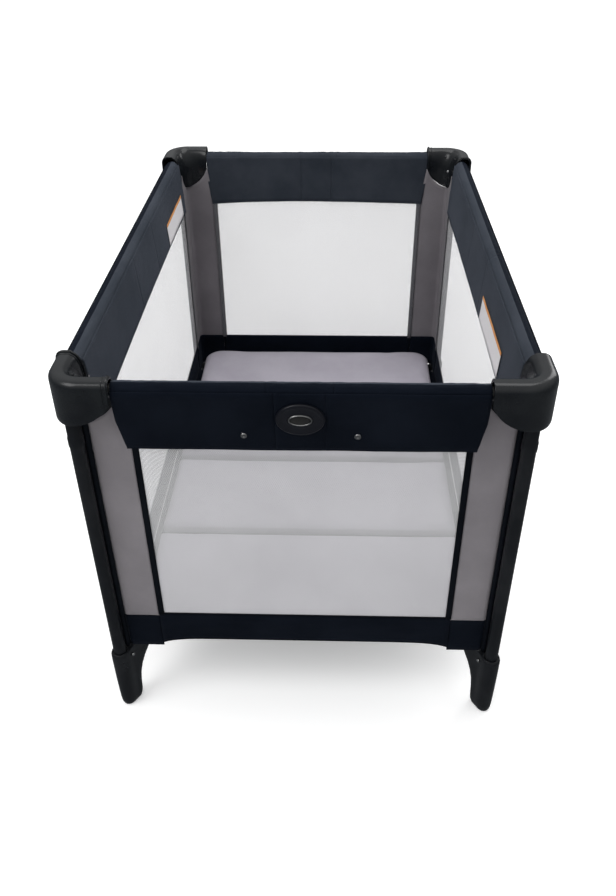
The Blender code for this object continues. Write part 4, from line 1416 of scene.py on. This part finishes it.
def cloth_marks(obj, index):
    """Soft handling marks on the upper face of a panel."""
    for vertex in obj.data.vertices:
        co = vertex.co
        if co.z > (PAD_Z0 + PAD_Z1) / 2:
            co.z += 0.0007 * ripple((co.x, co.y, index * 0.3), 9.0, 4)
    return obj


makers = []
for index in (0, 1):
    y0, y1 = panel_spans[index]
    pad = pad_block("pad", y0, y1)
    pad = inflate(pad, y0, y1, 0.006)
    makers.append(pad)

for index in range(4):
    source = makers[index if index < 2 else 3 - index]
    pad = source.copy()
    pad.data = source.data.copy()
    pad.name = "mattress_pad_%d" % (index + 1)
    bpy.context.scene.collection.objects.link(pad)
    if index > 1:
        pad.data.transform(Matrix.Scale(-1, 4, Vector((0, 1, 0))))
        pad.data.flip_normals()
    cloth_marks(pad, index)
    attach(pad, "mattress_%d_body" % (index + 1))
    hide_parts("mattress_%d" % (index + 1))
for source in makers:
    bpy.data.objects.remove(source)
print("four panels", [tuple(round(v, 3) for v in span) for span in panel_spans])

# %% [markdown]
# ## Studio, camera and finish
#
# A product is shown on a pale floor under large soft lamps, so that black plastic gets long gentle
# highlights and no hard shadow. The world is bright overhead and dim round the horizon, which keeps
# the sides of the black parts black. The camera looks down at one short end.

# %% Floor and lamps
FLOOR_HALF = 14
ground = bpy.data.meshes.new("studio_floor")
ground_corners = [(sx * FLOOR_HALF, sy * FLOOR_HALF, 0) for sx, sy in ((-1, -1), (1, -1), (1, 1), (-1, 1))]
ground.from_pydata(ground_corners, [], [(0, 1, 2, 3)])
floor = bpy.data.objects.new("studio_floor", ground)
bpy.context.scene.collection.objects.link(floor)
pale = Finish("studio_paper", Roughness=0.9, Specular_IOR_Level=0.0, Emission_Strength=0.30)
pale.set(Base_Color=pale.noise(0.7).blend((0.95, 0.95, 0.95, 1), (0.97, 0.97, 0.97, 1)))
pale.shader.inputs["Emission Color"].default_value = (1, 1, 1, 1)
ground.materials.append(pale.material)
floor.visible_glossy = False
floor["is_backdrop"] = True

world = bpy.data.worlds.new("studio")
world.use_nodes = True
sky = world.node_tree.nodes["Background"]
coordinate = world.node_tree.nodes.new("ShaderNodeTexCoord")
direction = world.node_tree.nodes.new("ShaderNodeSeparateXYZ")
ramp = world.node_tree.nodes.new("ShaderNodeValToRGB")
world.node_tree.links.new(coordinate.outputs["Generated"], direction.inputs[0])
world.node_tree.links.new(direction.outputs["Z"], ramp.inputs[0])
world.node_tree.links.new(ramp.outputs["Color"], sky.inputs["Color"])
ramp.color_ramp.elements[0].position, ramp.color_ramp.elements[0].color = 0.05, (0.16, 0.17, 0.18, 1)
ramp.color_ramp.elements[1].position, ramp.color_ramp.elements[1].color = 0.75, (1, 1, 1, 1)
sky.inputs["Strength"].default_value = 1.0
bpy.context.scene.world = world
bpy.context.scene.view_settings.view_transform = "Standard"


def lamp(name, place, aim, width, height, power):
    light = bpy.data.lights.new(name, "AREA")
    light.shape, light.size, light.size_y, light.energy = "RECTANGLE", width, height, power
    obj = bpy.data.objects.new(name, light)
    obj.location = place
    way = Vector(aim) - Vector(place)
    obj.rotation_euler = way.to_track_quat("-Z", "Y").to_euler()
    bpy.context.scene.collection.objects.link(obj)
    return obj


lamp("key_lamp", (-1.6, -1.4, 2.6), (0, 0, 0.4), 1.4, 1.4, 28)
lamp("top_lamp", (0.3, 0.6, 2.8), (0, 0, 0.4), 2.0, 1.2, 22)
lamp("rim_lamp", (1.9, 1.6, 1.8), (0, 0, 0.5), 0.9, 1.6, 14)
print("world and three soft lamps")

# %% Camera
LENS, SENSOR = 33.72991, 36.0
PLACE = Vector((0.0460, -1.5231, 1.3249))
PITCH, YAW, ROLL = 0.62874, 0.03596, -0.00988
forward = Vector((-math.sin(YAW) * math.cos(PITCH), math.cos(YAW) * math.cos(PITCH), -math.sin(PITCH)))
right = Vector((math.cos(YAW), math.sin(YAW), 0))
upward = right.cross(forward)
right, upward = (right * math.cos(ROLL) + upward * math.sin(ROLL),
                 upward * math.cos(ROLL) - right * math.sin(ROLL))
data = bpy.data.cameras.new("camera")
data.sensor_width, data.sensor_fit = SENSOR, "AUTO"
data.lens = LENS
camera = bpy.data.objects.new("camera", data)
bpy.context.scene.collection.objects.link(camera)
axes = Matrix((right, upward, -forward)).transposed()
camera.matrix_world = Matrix.Translation(PLACE) @ axes.to_4x4()
bpy.context.scene.camera = camera
print("camera at", tuple(round(v, 3) for v in PLACE), "lens", round(data.lens, 2), "mm")

# %% Sizes and finish
low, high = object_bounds()
print("solid box", [round(v, 4) for v in BOX_HIGH - BOX_LOW], "shown box", [round(v, 4) for v in high - low])
